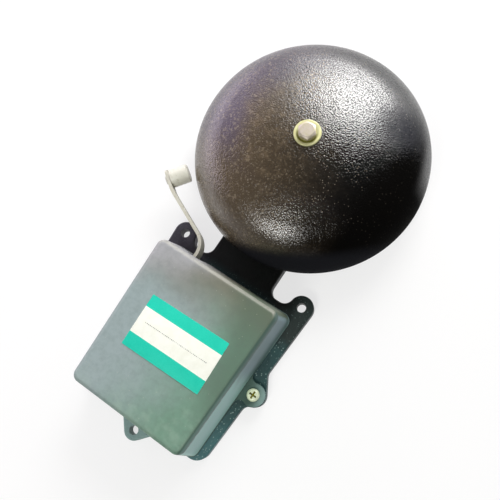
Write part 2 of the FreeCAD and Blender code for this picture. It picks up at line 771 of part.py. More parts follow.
def label():
    """Printed label stuck on the cover, a little out of true."""
    x, y = label_right, cover_y + label_up
    plate = block(x - label_width / 2, x + label_width / 2, y - label_length / 2, y + label_length / 2,
                  cover_top, cover_top + label_thickness)
    plate.rotate(V(x, y, 0), Z_AXIS, label_turn)
    return plate


def cover_screws():
    seat = base_height + cover_ear_thickness
    return [pan_screw(x, y, seat, foot_screw_radius, seat - boss_foot_gap) for x, y in cover_screws_at]


# ---------------------------------------------------------------- core and coil
def core_laminations():
    """The stack of E laminations, one solid each."""
    half = core_length / 2
    slot_out = half - outer_leg
    slot_in = centre_leg / 2
    root_x = core_end_x - yoke
    outline = [(pole_x, core_y - half), (core_end_x, core_y - half), (core_end_x, core_y + half),
               (pole_x, core_y + half), (pole_x, core_y + slot_out), (root_x, core_y + slot_out),
               (root_x, core_y + slot_in), (pole_x, core_y + slot_in), (pole_x, core_y - slot_in),
               (root_x, core_y - slot_in), (root_x, core_y - slot_out), (pole_x, core_y - slot_out)]
    first_z = mech_z - stack_height / 2
    holes = [rod(x, y, 0, cover_top, core_screw_radius + fit_gap) for x, y in core_screws_at]
    sheet = prism(polygon(outline), first_z, first_z + lamination_thickness).cut(holes)
    stack = []
    for n in range(lamination_count):
        copy = sheet.copy()
        copy.translate(V(0, 0, n * lamination_thickness))
        stack.append(copy)
    return stack


def core_screws():
    return [pan_screw(x, y, mech_z + stack_height / 2, core_screw_radius, stack_height + core_screw_grip)
            for x, y in core_screws_at]


bobbin_x0 = pole_x + bobbin_setback
bobbin_x1 = core_end_x - yoke - bobbin_gap


def coil_block(x0, x1, out, corner):
    """A block along X round the centre leg, its faces out from the leg by the given amount."""
    w, h = centre_leg + 2 * out, stack_height + 2 * out
    wire = rounded_wire(h, w, corner, 0, 0, 0)
    solid = Part.Face(wire).extrude(V(0, 0, x1 - x0))
    return turned_to_x(solid, x0, core_y, mech_z, 1)


def coil_bobbin():
    """Moulded tube with a flange at each end."""
    tube_out = bobbin_gap + bobbin_wall
    flange_out = winding_out + flange_lip
    corner = winding_corner
    body = coil_block(bobbin_x0, bobbin_x1, tube_out, bobbin_wall)
    for x0 in (bobbin_x0, bobbin_x1 - bobbin_flange):
        body = body.fuse(coil_block(x0, x0 + bobbin_flange, flange_out, corner))
    half_y = centre_leg / 2 + bobbin_gap
    half_z = stack_height / 2 + bobbin_gap
    x0, x1 = bobbin_x0 - cut_over, bobbin_x1 + cut_over
    hole = block(x0, x1, core_y - half_y, core_y + half_y, mech_z - half_z, mech_z + half_z)
    return body.removeSplitter().cut(hole)


def coil_winding():
    x0, x1 = bobbin_x0 + bobbin_flange, bobbin_x1 - bobbin_flange
    tube_out = bobbin_gap + bobbin_wall
    outer = coil_block(x0, x1, winding_out - wrap_thickness, winding_corner)
    return outer.cut(coil_block(x0 - cut_over, x1 + cut_over, tube_out, bobbin_wall))


def coil_wrap():
    """Insulating tape round the middle of the winding."""
    x0, x1 = bobbin_x0 + bobbin_flange + wrap_margin, bobbin_x1 - bobbin_flange - wrap_margin
    outer = coil_block(x0, x1, winding_out, winding_corner)
    return outer.cut(coil_block(x0 - cut_over, x1 + cut_over, winding_out - wrap_thickness, winding_corner))


def coil_leads():
    """Two insulated leads from the bobbin's end flange, over the yoke and down to the terminals' tags."""
    top_z = mech_z + stack_height / 2 + lead_above_core
    tag_z = base_height + block_height + pole_plate + lead_radius
    tag_y = block_top_y + pole_tag
    end_y = terminals_at[1][1] + terminal_screw_radius * pan_head_width + lead_end_gap
    core_end_y = core_y - core_length / 2
    leads = []
    for side, pole in zip((-1, 1), poles_at):
        start_y = core_y + side * lead_off_middle
        beside = max(pole, core_end_x + lead_clearance)
        points = [
            V(bobbin_x1, start_y, top_z),
            V(beside, start_y, top_z),
            V(beside, core_end_y + lead_radius, (top_z + tag_z) / 2 + lead_middle_rise),
            V(pole, tag_y + lead_approach, tag_z + lead_drop),
            V(pole, tag_y, tag_z),
            V(pole, end_y, tag_z),
        ]
        leads.append(tube_along(points, lead_bends, lead_radius))
    return leads


# ---------------------------------------------------------------- hammer
rivets_at = [armature_end_y + rivet_inset, armature_end_y + leaf_grip - rivet_inset]


def armature():
    bar = block(armature_x, armature_x + armature_thickness, armature_end_y, armature_top_y,
                mech_z - armature_width / 2, mech_z + armature_width / 2)
    pole_edges = [e for e in bar.Edges
                  if e.BoundBox.ZLength > armature_width / 2 and e.BoundBox.XMin > armature_x + same_place]
    bar = bar.makeFillet(armature_edge_round, pole_edges)
    holes = [rod_x(armature_x - cut_over, armature_x + armature_thickness + cut_over, y, mech_z,
                   rivet_radius + fit_gap) for y in rivets_at]
    return bar.cut(holes)


def armature_rivets():
    """Rivets through arm, leaf and armature, headed on the arm and flush on the armature."""
    left = arm_x - arm_thickness / 2
    right = armature_x + armature_thickness
    rivets = []
    for y in rivets_at:
        head = rod_x(left - rivet_head, left, y, mech_z, rivet_head_radius)
        outer_edge = [e for e in head.Edges if e.BoundBox.XMax < left - rivet_head / 2]
        head = head.makeFillet(rivet_head_round, outer_edge)
        rivets.append(head.fuse(rod_x(left, right, y, mech_z, rivet_radius)).removeSplitter())
    return rivets


def clamp_holes(x0, x1):
    """Cutters for the two holes of the clamp's screws, through a piece between two faces."""
    return [rod_x(x0 - cut_over, x1 + cut_over, clamp_y, mech_z + s * clamp_screw_pitch / 2,
                  clamp_screw_radius + fit_gap) for s in (-1, 1)]


def leaf_spring():
    """The flat spring that carries the armature, held at its lower end by the clamp."""
    leaf = block(leaf_x, armature_x, clamp_end_y, armature_end_y + leaf_grip, mech_z - leaf_width / 2,
                 mech_z + leaf_width / 2)
    holes = clamp_holes(leaf_x, armature_x)
    for y in rivets_at:
        holes.append(rod_x(leaf_x - cut_over, armature_x + cut_over, y, mech_z, rivet_radius + fit_gap))
    return leaf.cut(holes)


def hammer_arm():
    """Flat strip on edge: along the armature, out through the cover's notch and round to the clapper."""
    root = V(arm_x, armature_end_y + arm_thickness, 0)
    path = rounded_path([root, bend_corner, reverse_corner, arm_tip], (arm_bend_radius, arm_reverse_radius))
    half = V(0, 0, arm_width / 2)
    start = root + V(0, 0, mech_z)
    path.translate(V(0, 0, mech_z))
    across = V(arm_thickness / 2, 0, 0)
    corners = [start - across - half, start + across - half, start + across + half, start - across + half]
    section = Part.makePolygon(corners + corners[:1])
    strip = path.makePipeShell([section], True, False)
    tip = arm_tip + V(0, 0, mech_z)
    tip_edges = [e for e in strip.Edges
                 if e.Length < arm_thickness + same_place and (e.CenterOfMass - tip).Length < arm_width]
    strip = strip.makeFillet(arm_tip_round, tip_edges)
    holes = [rod_x(arm_x - arm_thickness, arm_x + arm_thickness, y, mech_z, rivet_radius + fit_gap)
             for y in rivets_at]
    seat = strip_seat + V(0, 0, mech_z) - clapper_dir * arm_thickness
    holes.append(Part.makeCylinder(clapper_tail_radius + fit_gap, 2 * arm_thickness, seat, clapper_dir))
    return strip.cut(holes)


def clapper():
    """Turned hammer head with a tail that is riveted over behind the strip."""
    base = clapper_seat + V(0, 0, mech_z)
    head = Part.makeCylinder(clapper_radius, clapper_length, base, clapper_dir)
    head = head.makeChamfer(clapper_chamfer, [e for e in head.Edges if e.Closed])
    back = base - clapper_dir * arm_thickness
    tail = Part.makeCylinder(clapper_tail_radius, arm_thickness, back, clapper_dir)
    peen_end = back - clapper_dir * clapper_peen
    peen = Part.makeCone(clapper_tail_radius, clapper_peen_radius, clapper_peen, peen_end, clapper_dir)
    return head.fuse([tail, peen]).removeSplitter()


# ---------------------------------------------------------------- leaf post, clamp and stop
def leaf_post():
    """Angle block that the leaf spring is clamped to."""
    top = mech_z + leaf_width / 2 + leaf_post_top
    upright = block(armature_x, foot_left, clamp_end_y, clamp_top_y, base_height, top)
    foot = block(foot_left, foot_left + leaf_post_foot, clamp_end_y, clamp_top_y, base_height,
                 base_height + leaf_post_foot_height)
    post = upright.fuse(foot).removeSplitter()
    foot_top = base_height + leaf_post_foot_height + cut_over
    holes = [rod(x, y, 0, foot_top, foot_screw_radius + fit_gap) for x, y in foot_screws_at]
    return post.cut(holes + clamp_holes(armature_x, foot_left))


def leaf_post_screws():
    seat = base_height + leaf_post_foot_height
    return [pan_screw(x, y, seat, foot_screw_radius, seat - boss_foot_gap) for x, y in foot_screws_at]


def leaf_clamp():
    half = leaf_width / 2
    plate = block(leaf_x - clamp_plate, leaf_x, clamp_end_y, clamp_top_y, mech_z - half, mech_z + half)
    return plate.cut(clamp_holes(leaf_x - clamp_plate, leaf_x))


def leaf_clamp_screws():
    grip = clamp_plate + leaf_thickness + leaf_post_thickness
    screw = pan_screw(0, 0, 0, clamp_screw_radius, grip)
    return [turned_to_x(screw, leaf_x - clamp_plate, clamp_y, mech_z + s * clamp_screw_pitch / 2, -1)
            for s in (-1, 1)]


def stop_bracket():
    """Upright plate on a foot, tapped for the stop screw."""
    x0, x1 = stop_wall_x, stop_wall_x + stop_wall
    top = mech_z + stop_wall_width / 2
    upright = block(x0, x1, stop_foot_y0, stop_foot_y0 + stop_wall_width, base_height, top)
    top_corners = [e for e in edges_at(upright, top) if e.BoundBox.YLength < stop_wall_width / 2]
    upright = upright.makeFillet(stop_wall_round, top_corners)
    middle = (x0 + x1) / 2
    foot_end = stop_foot_y0 - stop_foot
    foot = block(middle - boss_radius, middle + boss_radius, foot_end, stop_foot_y0 + stop_wall, base_height,
                 base_height + stop_wall)
    bracket = upright.fuse(foot).removeSplitter()
    foot_top = base_height + stop_wall + cut_over
    holes = [rod(x, y, 0, foot_top, foot_screw_radius + fit_gap) for x, y in stop_screws_at]
    holes.append(rod_x(x0 - cut_over, x1 + cut_over, stop_y, mech_z, stop_screw_radius + fit_gap))
    return bracket.cut(holes)


def stop_bracket_screw():
    seat = base_height + stop_wall
    return [pan_screw(x, y, seat, foot_screw_radius, seat - boss_foot_gap) for x, y in stop_screws_at]


def stop_screw():
    """Headless screw with a slot at its outer end."""
    inner_end = stop_tip_x - stop_pad_length + stop_pad_hold
    screw = rod_x(stop_end_x, inner_end, stop_y, mech_z, stop_screw_radius)
    half, reach = stop_slot_width / 2, stop_screw_radius + cut_over
    slot = block(stop_end_x - cut_over, stop_end_x + stop_slot_depth, stop_y - half, stop_y + half,
                 mech_z - reach, mech_z + reach)
    return screw.cut(slot)


def stop_pad():
    """Rubber cap on the inner end of the stop screw."""
    back_x = stop_tip_x - stop_pad_length
    cap = rod_x(back_x, stop_tip_x, stop_y, mech_z, stop_pad_radius)
    return cap.cut(rod_x(back_x - cut_over, back_x + stop_pad_hold, stop_y, mech_z, stop_screw_radius))


def stop_nut():
    thread = rod(0, 0, -cut_over, stop_nut_height + cut_over, stop_screw_radius + fit_gap)
    nut = hexagon(0, 0, 0, stop_nut_height, stop_nut_hex).cut(thread)
    return turned_to_x(nut, stop_wall_x, stop_y, mech_z, -1)


# ---------------------------------------------------------------- terminals, grommet and earth
def terminal_block():
    """Moulded block with a barrier on each side of both poles."""
    x0, x1 = block_x - block_width / 2, block_x + block_width / 2
    z1 = base_height + block_height
    body = block(x0, x1, block_end_y, block_top_y, base_height, z1)
    lane = pole_lane / 2
    for x in (x0, block_x - lane, block_x + lane - barrier_thickness, x1 - barrier_thickness):
        body = body.fuse(block(x, x + barrier_thickness, block_end_y, block_top_y, z1, z1 + barrier_height))
    body = body.removeSplitter()
    top = z1 + cut_over
    floor = base_height + terminal_floor
    holes = [rod(x, y, 0, top, terminal_screw_radius + fit_gap) for x, y in block_screws_at]
    holes += [rod(x, y, floor, top, terminal_screw_radius + fit_gap) for x, y in terminals_at]
    return body.cut(holes)


def terminal_plates():
    """One brass plate for each pole, with a tag for the coil's lead."""
    z0 = base_height + block_height
    top = z0 + pole_plate + cut_over
    plates = []
    for x in poles_at:
        half = pole_width / 2 - seat_gap
        plate = rectangle(x - half, x + half, block_end_y + pole_margin, block_top_y - pole_back_margin)
        tag = rectangle(x - pole_tag_width / 2, x + pole_tag_width / 2, block_y, block_top_y + pole_tag)
        plate = prism(merged_face([plate, tag]), z0, z0 + pole_plate)
        holes = [rod(sx, sy, z0 - cut_over, top, terminal_screw_radius + fit_gap) for sx, sy in terminals_at]
        plates.append(plate.cut(holes))
    return plates


def terminal_screws():
    seat = base_height + block_height + pole_plate
    grip = pole_plate + block_height - terminal_floor - running_gap
    return [pan_screw(x, y, seat, terminal_screw_radius, grip) for x, y in terminals_at]


def block_screws():
    seat = base_height + block_height
    return [pan_screw(x, y, seat, terminal_screw_radius, seat - boss_foot_gap) for x, y in block_screws_at]


def cable_grommet():
    """Rubber bush in the base plate, flanged on both sides."""
    z0, z1 = plate_under, base_height
    bush = rod(grommet_x, grommet_y, z0, z1, grommet_hole_radius)
    for low, high in ((z0 - grommet_flange, z0), (z1, z1 + grommet_flange)):
        flange = rod(grommet_x, grommet_y, low, high, grommet_flange_radius)
        outer_z = low if low < z0 else high
        bush = bush.fuse(flange.makeFillet(grommet_flange_round, edges_at(flange, outer_z)))
    top = z1 + grommet_flange + cut_over
    return bush.removeSplitter().cut(rod(grommet_x, grommet_y, 0, top, grommet_bore_radius))


def earth_screw():
    seat = base_height + earth_washer_thickness
    return pan_screw(*earth_at, seat, earth_screw_radius, seat - boss_foot_gap)


def earth_washer():
    return ring(*earth_at, base_height, base_height + earth_washer_thickness, earth_washer_radius,
                earth_screw_radius + fit_gap)


# ---------------------------------------------------------------- export
leads = coil_leads()
NODES = {
    "base_casting": base_casting(),
    "gong_post": gong_post(),
    "post_screw": post_screw(),
    "gong_seat_washer": gong_seat_washer(),
    "gong": gong(),
    "gong_washer": gong_washer(),
    "gong_spring_washer": spring_washer(),
    "gong_bolt": gong_bolt(),
    "cover": cover(),
    "cover_screws": cover_screws(),
    "label": label(),
    "core_laminations": core_laminations(),
    "core_screws": core_screws(),
    "coil_bobbin": coil_bobbin(),
    "coil_winding": coil_winding(),
    "coil_wrap": coil_wrap(),
    "coil_lead_a": leads[0],
    "coil_lead_b": leads[1],
    "armature": armature(),
    "armature_rivets": armature_rivets(),
    "leaf_spring": leaf_spring(),
    "hammer_arm": hammer_arm(),
    "clapper": clapper(),
    "leaf_post": leaf_post(),
    "leaf_post_screws": leaf_post_screws(),
    "leaf_clamp": leaf_clamp(),
    "leaf_clamp_screws": leaf_clamp_screws(),
    "stop_bracket": stop_bracket(),
    "stop_bracket_screw": stop_bracket_screw(),
    "stop_screw": stop_screw(),
    "stop_pad": stop_pad(),
    "stop_nut": stop_nut(),
    "terminal_block": terminal_block(),
    "terminal_plates": terminal_plates(),
    "terminal_screws": terminal_screws(),
    "block_screws": block_screws(),
    "cable_grommet": cable_grommet(),
    "earth_screw": earth_screw(),
    "earth_washer": earth_washer(),
}


def export(name, shape):
    """Writes one node, a solid or a group of solids, as a STEP file."""
    solids = []
    for piece in shape if isinstance(shape, list) else [shape]:
        solids.extend(piece.Solids)
    whole = solids[0] if len(solids) == 1 else Part.makeCompound(solids)
    if not whole.isValid():
        raise ValueError(f"{name} is not a valid shape")
    whole.exportStep(os.path.join("parts", name + ".step"))


os.makedirs("parts", exist_ok=True)
for node_name, node_shape in NODES.items():
    export(node_name, node_shape)
print("cover", round(cover_foot_width, 2), "x", round(cover_foot_length, 2), "top", round(cover_top, 2))
print("lower hole", round(lower_hole_y, 2), "gong axis", round(gong_y, 2), "mechanism", round(mech_z, 2))
print("pivot", round(pivot_x, 3), round(pivot_y, 3), "grommet", round(grommet_x, 3), round(grommet_y, 3))
print("strike gap", round(strike_gap, 2), "pole gap", round(pole_gap, 2))
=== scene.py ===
"""Looks of a wall-mounted electric bell with a stippled gong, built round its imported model."""

import math

import bmesh
import bpy
from bpy.props import FloatProperty, FloatVectorProperty, IntProperty, PointerProperty
from bpy.types import Operator, Panel, PropertyGroup
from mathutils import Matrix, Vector


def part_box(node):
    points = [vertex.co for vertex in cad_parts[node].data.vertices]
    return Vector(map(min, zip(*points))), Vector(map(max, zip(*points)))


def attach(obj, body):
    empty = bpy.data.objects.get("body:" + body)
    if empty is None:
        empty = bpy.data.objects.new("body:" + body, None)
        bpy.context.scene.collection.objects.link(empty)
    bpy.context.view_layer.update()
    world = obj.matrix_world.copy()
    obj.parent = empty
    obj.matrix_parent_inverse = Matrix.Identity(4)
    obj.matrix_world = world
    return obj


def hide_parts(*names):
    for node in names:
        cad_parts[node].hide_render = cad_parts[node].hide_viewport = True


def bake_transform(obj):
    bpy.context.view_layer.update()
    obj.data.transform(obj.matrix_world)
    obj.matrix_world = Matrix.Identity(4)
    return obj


bl_info = {
    "name": "Electric bell",
    "version": (1, 0, 0),
    "blender": (4, 5, 0),
    "location": "3D View > Sidebar > Bell",
    "description": "Finishes, fine pieces and coil winding of an electric bell, and a plain studio round it",
    "category": "Object",
}

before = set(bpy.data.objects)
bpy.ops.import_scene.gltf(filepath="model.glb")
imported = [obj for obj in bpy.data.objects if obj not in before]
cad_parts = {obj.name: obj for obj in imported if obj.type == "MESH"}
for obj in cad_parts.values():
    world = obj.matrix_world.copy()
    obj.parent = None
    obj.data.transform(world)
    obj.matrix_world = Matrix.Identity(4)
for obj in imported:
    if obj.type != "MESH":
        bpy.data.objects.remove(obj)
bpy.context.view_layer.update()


def srgb(red, green, blue):
    """A colour given in steps of 0 to 255, as the linear colour that Blender works in."""
    def linear(step):
        share = step / 255
        return share / 12.92 if share <= 0.04045 else ((share + 0.055) / 1.055) ** 2.4
    return linear(red), linear(green), linear(blue)


def opaque(colour):
    """A colour with a full alpha."""
    return (*colour[:3], 1.0)


def colour_setting(name, description, colour):
    return FloatVectorProperty(name=name, description=description, default=colour, size=3, min=0, max=1,
                               subtype="COLOR")


def length_setting(name, description, metres, least=0.0):
    return FloatProperty(name=name, description=description, default=metres, min=least, unit="LENGTH",
                         precision=5)


def radiance_setting(name, description, radiance):
    return FloatProperty(name=name, description=description, default=radiance, min=0)


def share_setting(name, description, share):
    return FloatProperty(name=name, description=description, default=share, min=0, max=1, subtype="FACTOR")


# ---------------------------------------------------------------- node trees
class Wire:
    """A value on its way between nodes. Arithmetic on it adds Math nodes."""

    def __init__(self, bench, socket):
        self.bench = bench
        self.socket = socket

    def __add__(self, other):
        return self.bench.maths("ADD", self, other)

    def __radd__(self, other):
        return self.bench.maths("ADD", other, self)

    def __sub__(self, other):
        return self.bench.maths("SUBTRACT", self, other)

    def __rsub__(self, other):
        return self.bench.maths("SUBTRACT", other, self)

    def __mul__(self, other):
        return self.bench.maths("MULTIPLY", self, other)

    def __rmul__(self, other):
        return self.bench.maths("MULTIPLY", other, self)

    def __truediv__(self, other):
        return self.bench.maths("DIVIDE", self, other)

    def __abs__(self):
        return self.bench.maths("ABSOLUTE", self)

    def frayed(self, clouds, width):
        """This value pushed to and fro by clouds, so that an edge drawn from it wanders over a width."""
        return self + (clouds - 0.5) * width


class Bench:
    """A node tree being wired up, and the nodes that the finishes share."""

    def __init__(self, tree):
        self.tree = tree
        tree.nodes.clear()

    def node(self, kind, settings=None, sockets=None, out=0):
        """Adds a node: its settings first, then its sockets' values or wires. Gives one of its outputs."""
        made = self.tree.nodes.new(kind)
        for key, value in (settings or {}).items():
            setattr(made, key, value)
        for key, value in (sockets or {}).items():
            if isinstance(value, Wire):
                self.tree.links.new(value.socket, made.inputs[key])
            elif made.inputs[key].type == "RGBA":
                made.inputs[key].default_value = opaque(value)
            else:
                made.inputs[key].default_value = value
        return Wire(self, made.outputs[out]) if len(made.outputs) else None

    def maths(self, operation, *terms):
        return self.node("ShaderNodeMath", {"operation": operation}, dict(enumerate(terms)))

    def reach(self, across, along):
        """The straight distance over two distances at right angles."""
        return self.maths("SQRT", across * across + along * along)

    def repeat(self, distance, pitch):
        """How far into its pitch a distance is, from 0 to 1. Whole pitches are added to keep it above 0."""
        whole_pitches = 100.0
        return self.maths("FRACT", distance / pitch + whole_pitches)

    def wave(self, distance, rate):
        """A sine of a distance, at a rate in radians per metre."""
        return self.maths("SINE", distance * rate)

    def place(self, stretch=(1, 1, 1)):
        """A point's place on its object, in metres. A stretch under 1 draws a pattern out along its axis."""
        here = self.node("ShaderNodeTexCoord", out="Object")
        if stretch == (1, 1, 1):
            return here
        return self.node("ShaderNodeVectorMath", {"operation": "MULTIPLY"}, {0: here, 1: stretch})

    def axes(self, vector):
        """The three parts of a vector, each as a wire."""
        split = self.node("ShaderNodeSeparateXYZ", sockets={0: vector}).socket.node
        return [Wire(self, part) for part in split.outputs]

    def noise(self, size, detail=2.0, roughness=0.5, stretch=(1, 1, 1), distortion=0.0):
        """Cloudy noise about 0.5 whose clouds are as wide as size, in metres."""
        return self.node("ShaderNodeTexNoise", sockets={
            "Vector": self.place(stretch), "Scale": 1 / size, "Detail": detail, "Roughness": roughness,
            "Distortion": distortion})

    def cells(self, size):
        """How far off the nearest of scattered points is, as a share of the size in metres they lie apart."""
        return self.node("ShaderNodeTexVoronoi", sockets={"Vector": self.place(), "Scale": 1 / size},
                         out="Distance")

    def from_node(self, name):
        """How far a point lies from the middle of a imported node's box, along the three axes."""
        low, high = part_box(name)
        middle = tuple((low + high) / 2)
        way = self.node("ShaderNodeVectorMath", {"operation": "SUBTRACT"}, {0: self.place(), 1: middle})
        return self.axes(way)

    def step(self, value, low, high):
        """0 where the value is under low, 1 over high, and smooth between. Low may be the larger."""
        return self.node("ShaderNodeMapRange", {"interpolation_type": "SMOOTHSTEP"}, {
            "Value": value, "From Min": low, "From Max": high})

    def mix(self, factor, first, second):
        """Colours: the first where the factor is 0, the second where it is 1."""
        first_colour, second_colour, mixed_colour = 6, 7, 2
        return self.node("ShaderNodeMix", {"data_type": "RGBA"},
                         {0: factor, first_colour: first, second_colour: second}, mixed_colour)

    def facing(self):
        """The way the smooth surface faces, as three wires."""
        return self.axes(self.node("ShaderNodeNewGeometry", out="Normal"))

    def sharp_edges(self, radius):
        """About 1 along sharp edges, out to a radius in metres, and 0 elsewhere."""
        rounded = self.node("ShaderNodeBevel", {"samples": 4}, {"Radius": radius})
        plain = self.node("ShaderNodeNewGeometry", out="Normal")
        alike = self.node("ShaderNodeVectorMath", {"operation": "DOT_PRODUCT"}, {0: rounded, 1: plain},
                          out="Value")
        hardly_bent, well_bent = 0.01, 0.22
        return self.step(1 - alike, hardly_bent, well_bent)

    def bump(self, height, depth, under=None):
        """A surface raised by a height of 0 to 1 times a depth in metres, on top of another bump if given."""
        sockets = {"Strength": 1.0, "Distance": depth, "Height": height}
        if under:
            sockets["Normal"] = under
        return self.node("ShaderNodeBump", sockets=sockets)

    def surface(self, **sockets):
        """A surface shader. Keys are its sockets, with _ for each blank."""
        return self.node("ShaderNodeBsdfPrincipled",
                         sockets={key.replace("_", " "): value for key, value in sockets.items()})

    def either(self, share, first, second):
        """Two shaders: the first where the share is 0, the second where it is 1."""
        return self.node("ShaderNodeMixShader", sockets={0: share, 1: first, 2: second})

    def end(self, kind, shader):
        """Ends the tree in a shader, at an output node of a kind."""
        self.node(kind, sockets={"Surface": shader})

    def finish(self, **sockets):
        """Ends the tree in one surface."""
        self.end("ShaderNodeOutputMaterial", self.surface(**sockets))


def new_material(name):
    """An empty material and the bench to wire it on."""
    material = bpy.data.materials.new(name)
    material.use_nodes = True
    return material, Bench(material.node_tree)


# ---------------------------------------------------------------- settings
class BellSettings(PropertyGroup):
    """What someone would change on the bell."""

    enamel: colour_setting("Enamel", "Black of the gong's enamel", srgb(8, 7, 6))
    # Painted warm reflection: the brown on the hammer's side of the gong.
    enamel_warm_reflection: colour_setting("Enamel patina", "Brown that age has given the enamel", srgb(98, 84, 65))
    stipple: length_setting("Stipple", "Width of one grain of the gong's enamel", 0.0009, 0.0002)
    stipple_depth: length_setting("Stipple depth", "Height of the enamel's grains", 0.000155)
    cover_green: colour_setting("Cover green", "Greener shade of the moulded cover", srgb(110, 147, 127))
    # Cover sheen grey: the paler grey of the cover's left side, a painted sheen.
    cover_sheen_grey: colour_setting("Cover grey", "Greyer shade of the moulded cover", srgb(153, 169, 170))
    base: colour_setting("Base", "Paint of the cast base", srgb(44, 84, 82))
    base_dust: colour_setting("Base dust", "Pale specks in the rough paint", srgb(150, 178, 172))
    label_band: colour_setting("Label bands", "Printed bands of the label", srgb(22, 206, 178))
    label_paper: colour_setting("Label paper", "Pale middle of the label", srgb(252, 254, 244))
    label_ink: colour_setting("Label ink", "Dotted entry line on the label", srgb(96, 100, 92))
    label_corner: length_setting("Label corner", "Radius of the label's corners", 0.0006)
    upper_band: length_setting("Upper band", "Width of the band on the gong's side", 0.0079)
    lower_band: length_setting("Lower band", "Width of the band on the far side", 0.0087)
    plating: colour_setting("Plating", "Plating of the hammer's arm, armature and stop", srgb(207, 206, 192))
    zinc: colour_setting("Zinc", "Yellow zinc plating of the screws and washers", srgb(206, 203, 148))
    wire: length_setting("Coil wire", "Diameter of the coil's wire over its enamel", 0.0005, 0.0002)
    leaf_cuts: IntProperty(name="Leaf cuts", description="Cuts across the bending part of the leaf spring",
                           default=16, min=4, max=60)
    wall_light: radiance_setting("Wall light", "Radiance of the wide lamp beyond the gong", 2.15)
    key_light: radiance_setting("Key light", "Radiance of the small lamp that hangs before and above it", 9.2)
    fill_light: radiance_setting("Fill light", "Radiance of the small lamp beyond the case", 13.6)
    side_light: radiance_setting("Side light", "Radiance of the faintly violet lamp on the left", 2.0)
    sky: share_setting("Sky", "Share of the light that comes evenly from all round", 0.16)
    ceiling: share_setting("Ceiling", "Grey of the surroundings overhead, where the horizon is white", 0.03)
    floor: share_setting("Floor", "Grey of the plain floor", 0.28)


def settings():
    return bpy.context.scene.electric_bell


# ---------------------------------------------------------------- finishes
class EnamelZones:
    """Where the gong's enamel differs, each a share from 0 to 1: some zones are real changes of the enamel,
    some carry painted reflection. Lengths are in metres from the bolt.
    """

    def __init__(self, b, fine, clouds):
        facing_x, facing_y, facing_z = b.facing()
        across, along, _ = b.from_node("gong_bolt")
        # Low side of the gong, by the way it faces: made matt, and given a painted bluish sheen in
        # enamel_colour.
        self.low = b.step(facing_x * 0.5 - facing_y * 0.87, 0.70, 0.88)
        # Brown zone on the hammer's side: where the painted warm reflection goes, with its tan grains and
        # blotches.
        self.brown = b.step(across + 0.35 * along + clouds * 0.03, 0.050, -0.042) * (1 - self.low)
        self.outer = b.step(b.reach(across, along).frayed(clouds, 0.02), 0.032, 0.050)
        # Mauve: a painted violet reflection of the side lamp on the outer left of the gong.
        self.mauve = self.outer * b.step(along, -0.045, -0.015)
        # A dark bluish patch beside the highlight: painted dark reflection, made matt as well.
        dark_reflection_x, dark_reflection_y = 0.042, 0.034
        off = b.reach(across - dark_reflection_x, along - dark_reflection_y)
        self.dark_reflection = b.step(off.frayed(clouds, 0.012).frayed(fine, 0.02), 0.022, 0.002) * 0.72
        away = across * 0.96 - along * 0.28
        dull = b.step(away.frayed(clouds, 0.03).frayed(fine, 0.03), 0.027, 0.053)
        steep = b.step(facing_z, 0.72, 0.46)
        dull = dull * (1 - 0.8 * steep * b.step(along, 0.004, 0.026))
        self.dull = 1 - (1 - dull) * (1 - self.dark_reflection)


def enamel_colour(b, s, zones, clouds):
    """Black, with a painted warm brown reflection on the hammer's side that turns mauve at the outer left,
    tan grains, blotches and pits, a painted dark bluish reflection beside the highlight, and a painted bluish
    sheen on the low side.
    """
    # Painted reflection tint: warm brown, turning mauve at the outer left.
    reflection_tint = b.mix(zones.mauve, s.enamel_warm_reflection, srgb(75, 64, 80))
    colour = b.mix(zones.brown * (0.7 + 0.3 * clouds), s.enamel, reflection_tint)
    grains = b.step(b.noise(0.0017, 2.0, 0.6), 0.54, 0.68)
    colour = b.mix(grains * zones.brown * 0.5, colour, srgb(156, 142, 120))
    blotches = b.step(b.noise(0.006, 5.0, 0.75), 0.46, 0.7)
    colour = b.mix(blotches * zones.brown * (1 - zones.outer) * 0.5, colour, srgb(134, 116, 92))
    # Painted dark reflection: the bluish patch beside the highlight.
    colour = b.mix(zones.dark_reflection * 0.8, colour, srgb(16, 22, 38))
    pits = b.step(b.cells(0.0021), 0.22, 0.1) * b.step(b.noise(0.012), 0.40, 0.58)
    pits = pits * (1 - 0.88 * zones.dull) * (1 - zones.low)
    colour = b.mix(pits * 0.6, colour, srgb(156, 146, 130))
    # Painted bluish sheen along the gong's low side.
    return b.mix(zones.low * 0.7, colour, srgb(38, 39, 44))


def gong_enamel(s):
    """Stippled enamel, glossy, but matt between its grains, on its low side and away from the hammer."""
    material, b = new_material("gong_enamel")
    grains = b.cells(s.stipple)
    fine = b.noise(s.stipple * 0.8, 2.0, 0.6)
    swell = b.noise(0.006, 1.0)
    clouds = b.noise(0.03, 3.0, 0.6)
    zones = EnamelZones(b, fine, clouds)
    colour = enamel_colour(b, s, zones, clouds)
    skin = b.bump(fine * 0.25 - grains * grains + swell * 0.3, s.stipple_depth)
    rough = 0.12 + 0.08 * b.noise(0.004) + 0.06 * zones.brown
    glossy = b.surface(Base_Color=colour, Roughness=rough, Normal=skin, IOR=2.15)
    matt = b.surface(Base_Color=colour, Roughness=0.7 + 0.2 * fine, Normal=skin, IOR=1.1)
    between = b.step(grains, 0.42, 0.68) * 0.24
    share = 1 - (1 - zones.dull) * (1 - between) * (1 - zones.low)
    b.end("ShaderNodeOutputMaterial", b.either(share, glossy, matt))
    return material


